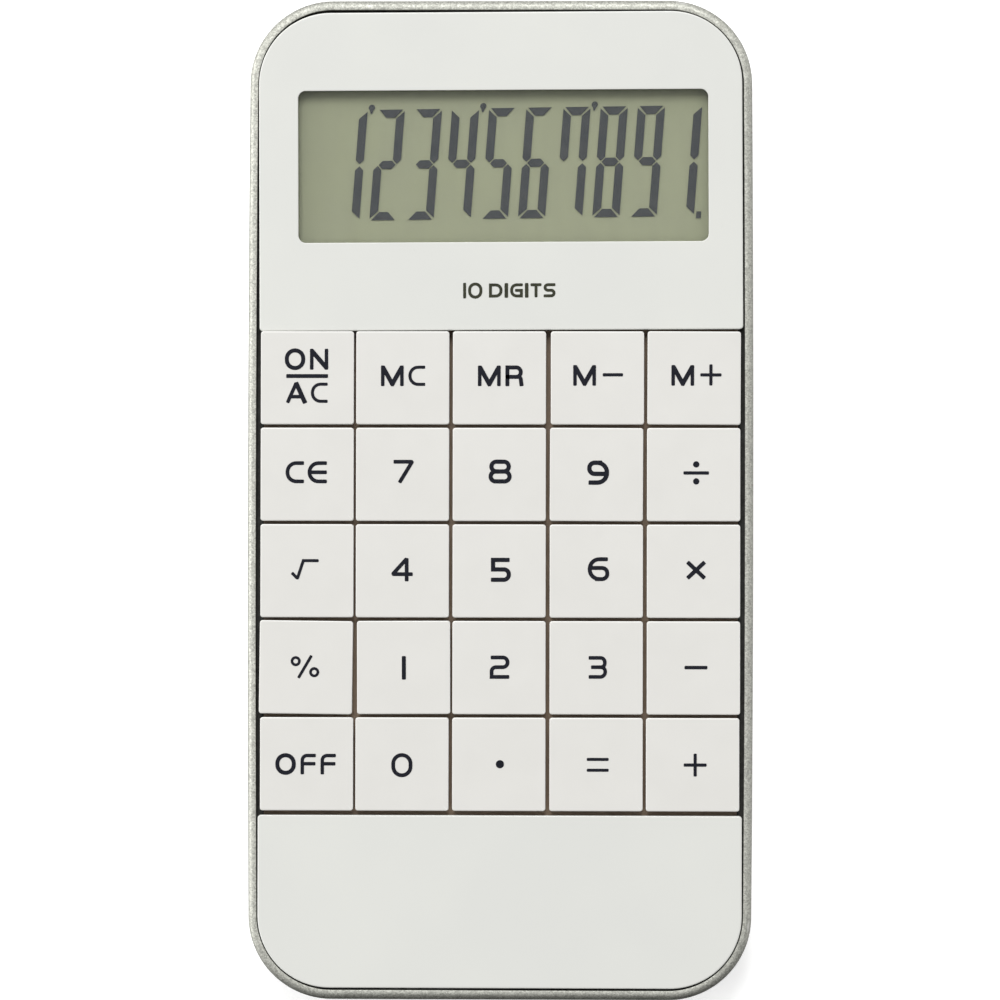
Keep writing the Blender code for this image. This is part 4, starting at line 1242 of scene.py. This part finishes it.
def make_from_nodes():
    """Pieces shaped as their CAD nodes, with rounded edges: the battery door and inner parts."""
    finishes = {
        "battery_door": (back_white, 0.1), "circuit_board": (board_green, 0.05),
        "capacitor_1": (ceramic, 0.2), "capacitor_2": (ceramic, 0.2),
        "contact_positive": (contact_metal, 0.04), "contact_negative": (contact_metal, 0.04),
        "lcd_reflector": (film, 0.03), "lcd_connector": (rubber, 0.2),
    }
    for node, (material, width) in finishes.items():
        mesh = bmesh.new()
        mesh.from_mesh(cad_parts[node].data)
        bmesh.ops.remove_doubles(mesh, verts=mesh.verts, dist=WELD * MM)
        body = "battery_door" if node == "battery_door" else "root"
        piece = make_piece("fine_" + node, mesh, material, node, body)
        bevel = piece.modifiers.new("soft_edges", "BEVEL")
        bevel.width = width * MM
        bevel.segments = BEVEL_SEGMENTS
        bevel.limit_method = "ANGLE"
        bevel.angle_limit = radians(BEVEL_ANGLE)
        keep_result(piece)


def quarter_round(x, z, radius, start):
    """Points of a quarter circle in a section, anticlockwise from an angle in degrees."""
    angles = [radians(start + degrees) for degrees in range(0, 91, 15)]
    return [(x + radius * cos(angle), z + radius * sin(angle)) for angle in angles]


def make_cell():
    """Button cell: a can with a crimped edge, a sealing ring and a lid."""
    low, high, centre = place_of("battery_cell")
    side, bottom, top = (high.x - low.x) / 2, low.z, high.z

    def at(place):
        return side - place[0], top - place[1]

    can = [(side - inward, bottom + up) for inward, up in CELL_FOOT]
    can += quarter_round(side - CELL_ROUND, bottom + CELL_ROUND, CELL_ROUND, -90)
    can += quarter_round(*at(CELL_SHOULDER), CELL_ROUND, 0) + [at(CELL_CRIMP)]
    seal = [at(place) for place in CELL_SEAL]
    lid = [at(LID_FOOT), *quarter_round(*at(LID_EDGE), LID_ROUND, 0), at(LID_TOP)]
    layers = (("can", cell_steel, can), ("seal", rubber, seal), ("lid", cell_steel, lid))
    for name, material, section in layers:
        rings = turned_rings(centre, section, 72)
        loft_piece("cell_" + name, rings, material, "battery_cell",
                   wrap=name == "seal")


def make_chip():
    """The chip's poured resin cap."""
    low, high, centre = place_of("chip_cap")
    radius, depth = (high.x - low.x) / 2, high.z - low.z
    section = []
    for step in range(CHIP_STEPS):
        angle = radians(90 * step / CHIP_STEPS)
        across = max(radius * sin(angle) ** CHIP_ACROSS, MIN_RADIUS)
        section.append((across, high.z - depth * cos(angle) ** CHIP_UP))
    rings = turned_rings(centre, section + [(radius, high.z)], 48)
    loft_piece("chip_blob", rings, resin, "chip_cap")


def make_door_grip():
    """Ridges beside the door's notch, for a fingernail."""
    low, high = corners_mm("battery_door")
    mesh = bmesh.new()
    for ridge in range(GRIP_RIDGES):
        y = low.y + GRIP_FIRST_Y + ridge * GRIP_PITCH
        add_loft(mesh, [[(x, y + along, low.z + up) for along, up in GRIP_SECTION]
                        for x in (-GRIP_HALF_X, GRIP_HALF_X)])
    make_piece("door_grip", mesh, back_white, body="battery_door")


# ---- stage

def make_floor():
    """Pale floor that glows a little and isn't seen in reflections."""
    mesh = bmesh.new()
    corners = [(x * FLOOR_HALF, y * FLOOR_HALF, FLOOR_Z)
               for x, y in ((-1, -1), (1, -1), (1, 1), (-1, 1))]
    mesh.faces.new([mesh.verts.new(Vector(corner) * MM) for corner in corners])
    floor = add_object("floor", mesh_data("floor", mesh))
    material, tree, shader = new_material("floor_white")
    tone = uneven(tree, 400.0, 0.0, 1.0, 2.0)
    feed(tree, shader, {
        "Base Color": blend_colours(tree, tone, (0.88, 0.88, 0.88), (0.9, 0.9, 0.9)),
        "Roughness": 0.9, "Emission Color": (1.0, 1.0, 1.0, 1.0),
        "Emission Strength": FLOOR_GLOW})
    floor.data.materials.append(material)
    floor.visible_glossy = False


def make_sky():
    """Surroundings whose brightness is the product of one curve along each axis."""
    world = bpy.data.worlds.new("studio")
    world.use_nodes = True
    tree = world.node_tree
    coordinate = add_node(tree, "TexCoord", {})
    axes = add_node(tree, "SeparateXYZ", {"Vector": coordinate.outputs["Generated"]})
    strength = SKY_STRENGTH * SKY_SCALE ** 3
    for axis, stops in (("X", SKY_ACROSS), ("Y", SKY_ALONG), ("Z", SKY_UPWARD)):
        place = remap(tree, axes.outputs[axis], -1.0, 1.0)
        ramp = add_node(tree, "ValToRGB", {"Fac": place})
        elements = ramp.color_ramp.elements
        while len(elements) < len(stops):
            elements.new(0.5)
        for element, (position, value) in zip(elements, stops):
            element.position = (position + 1) / 2
            element.color = (*[value / SKY_SCALE] * 3, 1.0)
        product = add_node(tree, "Math", {0: ramp.outputs["Color"], 1: strength})
        product.operation = "MULTIPLY"
        strength = product.outputs[0]
    feed(tree, tree.nodes["Background"], {"Strength": strength, "Color": (1.0, 1.0, 1.0, 1.0)})
    bpy.context.scene.world = world


def make_lamps():
    """Soft rectangular lamps that face the origin."""
    for name, tilt_x, tilt_y, distance, size, power in LAMPS:
        light = bpy.data.lights.new(name, "AREA")
        light.shape = "RECTANGLE"
        light.size, light.size_y = size
        light.energy = power
        direction = Vector((tan(radians(tilt_x)), tan(radians(tilt_y)), 1.0)).normalized()
        lamp = add_object(name, light)
        lamp.location = direction * distance
        lamp.rotation_euler = direction.to_track_quat("Z", "Y").to_euler()


def make_camera():
    """The camera that matches the photo."""
    data = bpy.data.cameras.new("camera")
    data.lens = CAMERA_LENS
    data.sensor_width = CAMERA_SENSOR
    data.clip_start, data.clip_end = CAMERA_CLIP
    camera = add_object("camera", data)
    camera.rotation_euler = [radians(angle) for angle in CAMERA_TURN]
    back = camera.rotation_euler.to_matrix() @ Vector((0.0, 0.0, CAMERA_DISTANCE))
    camera.location = (Vector(CAMERA_TARGET) + back) * MM
    bpy.context.scene.camera = camera
    bpy.context.scene.view_settings.view_transform = "Standard"


make_front()
make_channel_shade()
make_back()
make_screws()
make_panels()
make_lcd()
make_keys()
make_panel_words()
make_mat()
make_from_nodes()
make_cell()
make_chip()
make_door_grip()
make_floor()
make_sky()
make_lamps()
make_camera()
